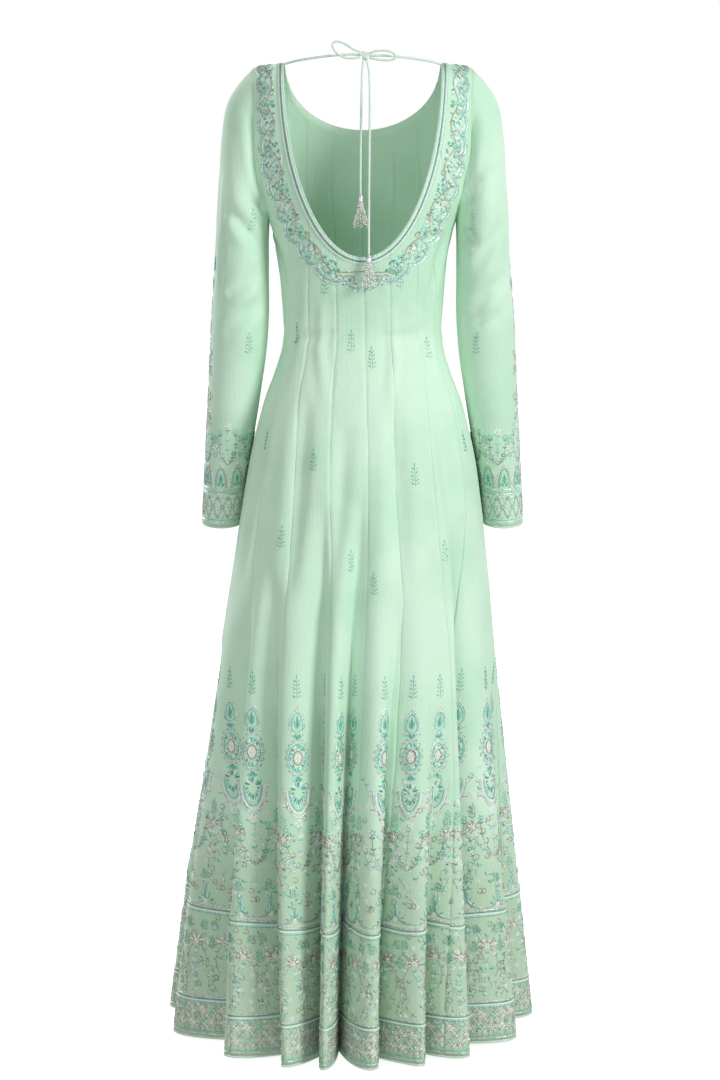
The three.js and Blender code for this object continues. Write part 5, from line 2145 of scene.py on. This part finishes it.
# ---------------------------------------------------------------- studio
@dataclass
class Studio:
    """A plain floor, soft lights and the camera."""

    camera_place: tuple[float, float, float] = (0.0037, 3.5, -0.324)
    pitch_down: float = 5.7325
    field_of_view: float = 24.93
    floor_gap: float = 0.006
    floor_size: float = 60.0
    floor_glow: float = 0.8
    ambient: float = 0.42

    def camera(self) -> None:
        """Look at the back of the gown from chest height."""
        lens = bpy.data.cameras.new("camera")
        lens.sensor_fit = "VERTICAL"
        lens.angle = math.radians(self.field_of_view)
        viewer = bpy.data.objects.new("camera", lens)
        viewer.location = self.camera_place
        viewer.rotation_euler = (math.radians(90 - self.pitch_down), 0, math.pi)
        bpy.context.collection.objects.link(viewer)
        bpy.context.scene.camera = viewer

    def floor(self, low: float) -> None:
        """A pale floor just under the hem.

        Args:
            low: the lowest point of the gown, in metres.
        """
        half = self.floor_size / 2
        mesh = bpy.data.meshes.new("floor")
        corners = [(-half, -half, 0), (half, -half, 0), (half, half, 0), (-half, half, 0)]
        mesh.from_pydata(corners, [], [(0, 1, 2, 3)])
        paper = bpy.data.materials.new("floor_paper")
        Graph(paper).set(Base_Color=(0.9, 0.9, 0.9, 1), Roughness=0.9, Emission_Color=(1, 1, 1, 1),
                         Emission_Strength=self.floor_glow)
        mesh.materials.append(paper)
        floor = bpy.data.objects.new("floor", mesh)
        floor.location = (0, 0, low - self.floor_gap)
        bpy.context.collection.objects.link(floor)
        floor.visible_diffuse = False  # the glow keeps the floor pale without lighting the cloth
        floor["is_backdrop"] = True

    def lamp(self, name: str, place: tuple[float, float, float], aim: tuple[float, float, float],
             size: float, power: float) -> None:
        """A square soft light that faces a point."""
        light = bpy.data.lights.new(name, "AREA")
        light.size, light.energy = size, power
        lamp = bpy.data.objects.new(name, light)
        lamp.location = place
        away = np.array(place) - np.array(aim)
        flat = math.hypot(away[0], away[1])
        lamp.rotation_euler = (math.atan2(flat, away[2]), 0, math.atan2(away[0], -away[1]))
        bpy.context.collection.objects.link(lamp)

    def light(self) -> None:
        """A key and a fill by the camera, two lamps behind, and a white world."""
        middle = (0.0, 0.0, -0.7)
        self.lamp("key", (-3.0, 2.5, 1.2), middle, 1.2, 112)
        self.lamp("fill", (1.2, 3.4, 0.4), middle, 1.8, 28)
        self.lamp("rear_left", (2.6, -2.8, 1.0), middle, 1.6, 84)
        self.lamp("rear_right", (-2.2, -2.8, 0.8), middle, 1.8, 30)
        world = bpy.data.worlds.new("studio")
        world.use_nodes = True
        nodes, links = world.node_tree.nodes, world.node_tree.links
        ambient = nodes["Background"]
        ambient.inputs["Color"].default_value = (1, 1, 1, 1)
        ambient.inputs["Strength"].default_value = self.ambient
        seen = nodes.new("ShaderNodeBackground")
        seen.inputs["Color"].default_value = (1, 1, 1, 1)
        seen.inputs["Strength"].default_value = 1.0
        path, both = nodes.new("ShaderNodeLightPath"), nodes.new("ShaderNodeMixShader")
        links.new(path.outputs["Is Camera Ray"], both.inputs[0])
        links.new(ambient.outputs[0], both.inputs[1])
        links.new(seen.outputs[0], both.inputs[2])
        links.new(both.outputs[0], nodes["World Output"].inputs["Surface"])
        bpy.context.scene.world = world
        bpy.context.scene.view_settings.view_transform = "Standard"


@dataclass(frozen=True)
class Press:
    """A crease on the gown's body: its half, its (x, drop) points, its width and its depth."""

    half: Half
    places: tuple[tuple[float, float], ...]
    width: float
    depth: float

    def crease(self, body: Body) -> Crease:
        """The crease as angles and drops on the plain body."""
        route = tuple((float(body.angle_at_width(np.array(x), np.array(drop), self.half)), drop)
                      for x, drop in self.places)
        return Crease(route, self.width, self.depth)


PRESSES = (
    Press(Half.BACK, ((142, 226), (118, 262), (104, 312)), 9, 4.8),
    Press(Half.BACK, ((-120, 232), (-104, 276), (-96, 330)), 9, 4.8),
    Press(Half.BACK, ((92, 300), (96, 372), (112, 452)), 8, 3.6),
    Press(Half.BACK, ((-78, 316), (-88, 388), (-100, 470)), 8, 3.6),
    Press(Half.BACK, ((118, 372), (78, 384), (40, 378)), 8, 3.1),
    Press(Half.BACK, ((-112, 366), (-74, 380), (-30, 386)), 8, 3.1),
    Press(Half.BACK, ((56, 330), (60, 402), (52, 470)), 7, -2.8),
    Press(Half.BACK, ((-40, 340), (-44, 410), (-36, 470)), 7, -2.8),
    Press(Half.BACK, ((78, 470), (88, 600), (98, 740)), 13, 6.3),
    Press(Half.BACK, ((24, 500), (30, 620), (38, 760)), 12, 5.0),
    Press(Half.BACK, ((-44, 480), (-52, 610), (-60, 750)), 13, 5.9),
    Press(Half.BACK, ((-100, 470), (-122, 600), (-138, 730)), 13, 6.3),
    Press(Half.BACK, ((128, 470), (150, 600), (164, 720)), 12, 5.6),
    Press(Half.FRONT, ((136, 218), (112, 262), (86, 300)), 9, 4.8),
    Press(Half.FRONT, ((-132, 224), (-106, 262), (-82, 310)), 9, 4.5),
    Press(Half.FRONT, ((96, 320), (90, 390), (102, 460)), 8, 3.6),
    Press(Half.FRONT, ((-90, 310), (-84, 384), (-100, 462)), 8, 3.6),
    Press(Half.FRONT, ((108, 384), (60, 394), (18, 384)), 8, 3.1),
    Press(Half.FRONT, ((-110, 376), (-66, 390), (-22, 396)), 8, 3.1),
    Press(Half.FRONT, ((70, 480), (82, 610), (90, 740)), 13, 5.9),
    Press(Half.FRONT, ((10, 500), (14, 620), (8, 750)), 12, 5.3),
    Press(Half.FRONT, ((-58, 480), (-66, 600), (-78, 740)), 13, 5.9),
    Press(Half.FRONT, ((-120, 470), (-140, 600), (-152, 730)), 12, 5.6),
)
SLEEVE_CREASES: dict[Side, tuple[SleeveCrease, ...]] = {
    Side.LEFT: (
        SleeveCrease(((68, 66), (110, 119), (150, 151)), 9, 7.6),
        SleeveCrease(((100, 190), (128, 198), (158, 210)), 7, 6.1),
        SleeveCrease(((55, 204), (92, 224), (130, 256)), 9, 6.5),
        SleeveCrease(((58, 176), (50, 250), (46, 332)), 4, 2.9),
        SleeveCrease(((130, 286), (96, 310), (62, 322)), 9, 6.1),
        SleeveCrease(((140, 330), (104, 350), (60, 380)), 10, 5.4),
        SleeveCrease(((300, 96), (256, 132), (214, 156)), 9, 6.8),
        SleeveCrease(((310, 236), (270, 262), (226, 300)), 9, 6.1),
        SleeveCrease(((320, 320), (276, 336), (232, 346)), 9, 5.8),
        SleeveCrease(((20, 150), (8, 230), (14, 320)), 10, 4.0),
    ),
    Side.RIGHT: (
        SleeveCrease(((58, 76), (92, 108), (120, 140)), 9, 7.9),
        SleeveCrease(((38, 150), (88, 168), (132, 190)), 8, 6.8),
        SleeveCrease(((152, 240), (128, 246), (100, 258)), 7, 5.8),
        SleeveCrease(((50, 298), (88, 322), (124, 350)), 10, 6.8),
        SleeveCrease(((62, 352), (98, 362), (140, 384)), 9, 5.4),
        SleeveCrease(((44, 220), (78, 252), (110, 290)), 9, 5.0),
        SleeveCrease(((296, 84), (250, 126), (216, 150)), 9, 6.8),
        SleeveCrease(((312, 250), (264, 282), (224, 306)), 9, 6.1),
        SleeveCrease(((318, 336), (270, 348), (230, 366)), 9, 5.4),
        SleeveCrease(((18, 170), (4, 250), (12, 330)), 10, 4.0),
    ),
}


def main() -> None:
    """Build the gown and the studio, in order."""
    logging.basicConfig(level=logging.INFO, format="%(name)s %(message)s")
    studio = Studio()
    studio.camera()
    tassels = {f"tie_tail_{side.word}": Tassel(f"tassel_{side.word}", f"tie_tail_{side.word}").build()
               for side in Side}
    Tie().build(tassels)
    plain = Body()
    body = Body(creases=tuple(press.crease(plain) for press in PRESSES))
    kalis = [Kali(body, index) for index in range(KALIS)]
    for kali in kalis:
        kali.build()
    sleeves = [SleeveForm(body, side, SLEEVE_CREASES[side]) for side in Side]
    for form in sleeves:
        Sleeve(form).build()
    HemRoll(body).build()
    embroider(body, kalis, sleeves)
    studio.floor(CAD_BOX[0][2])
    studio.light()


CAD_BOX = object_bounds()

if __name__ == "__main__":
    main()
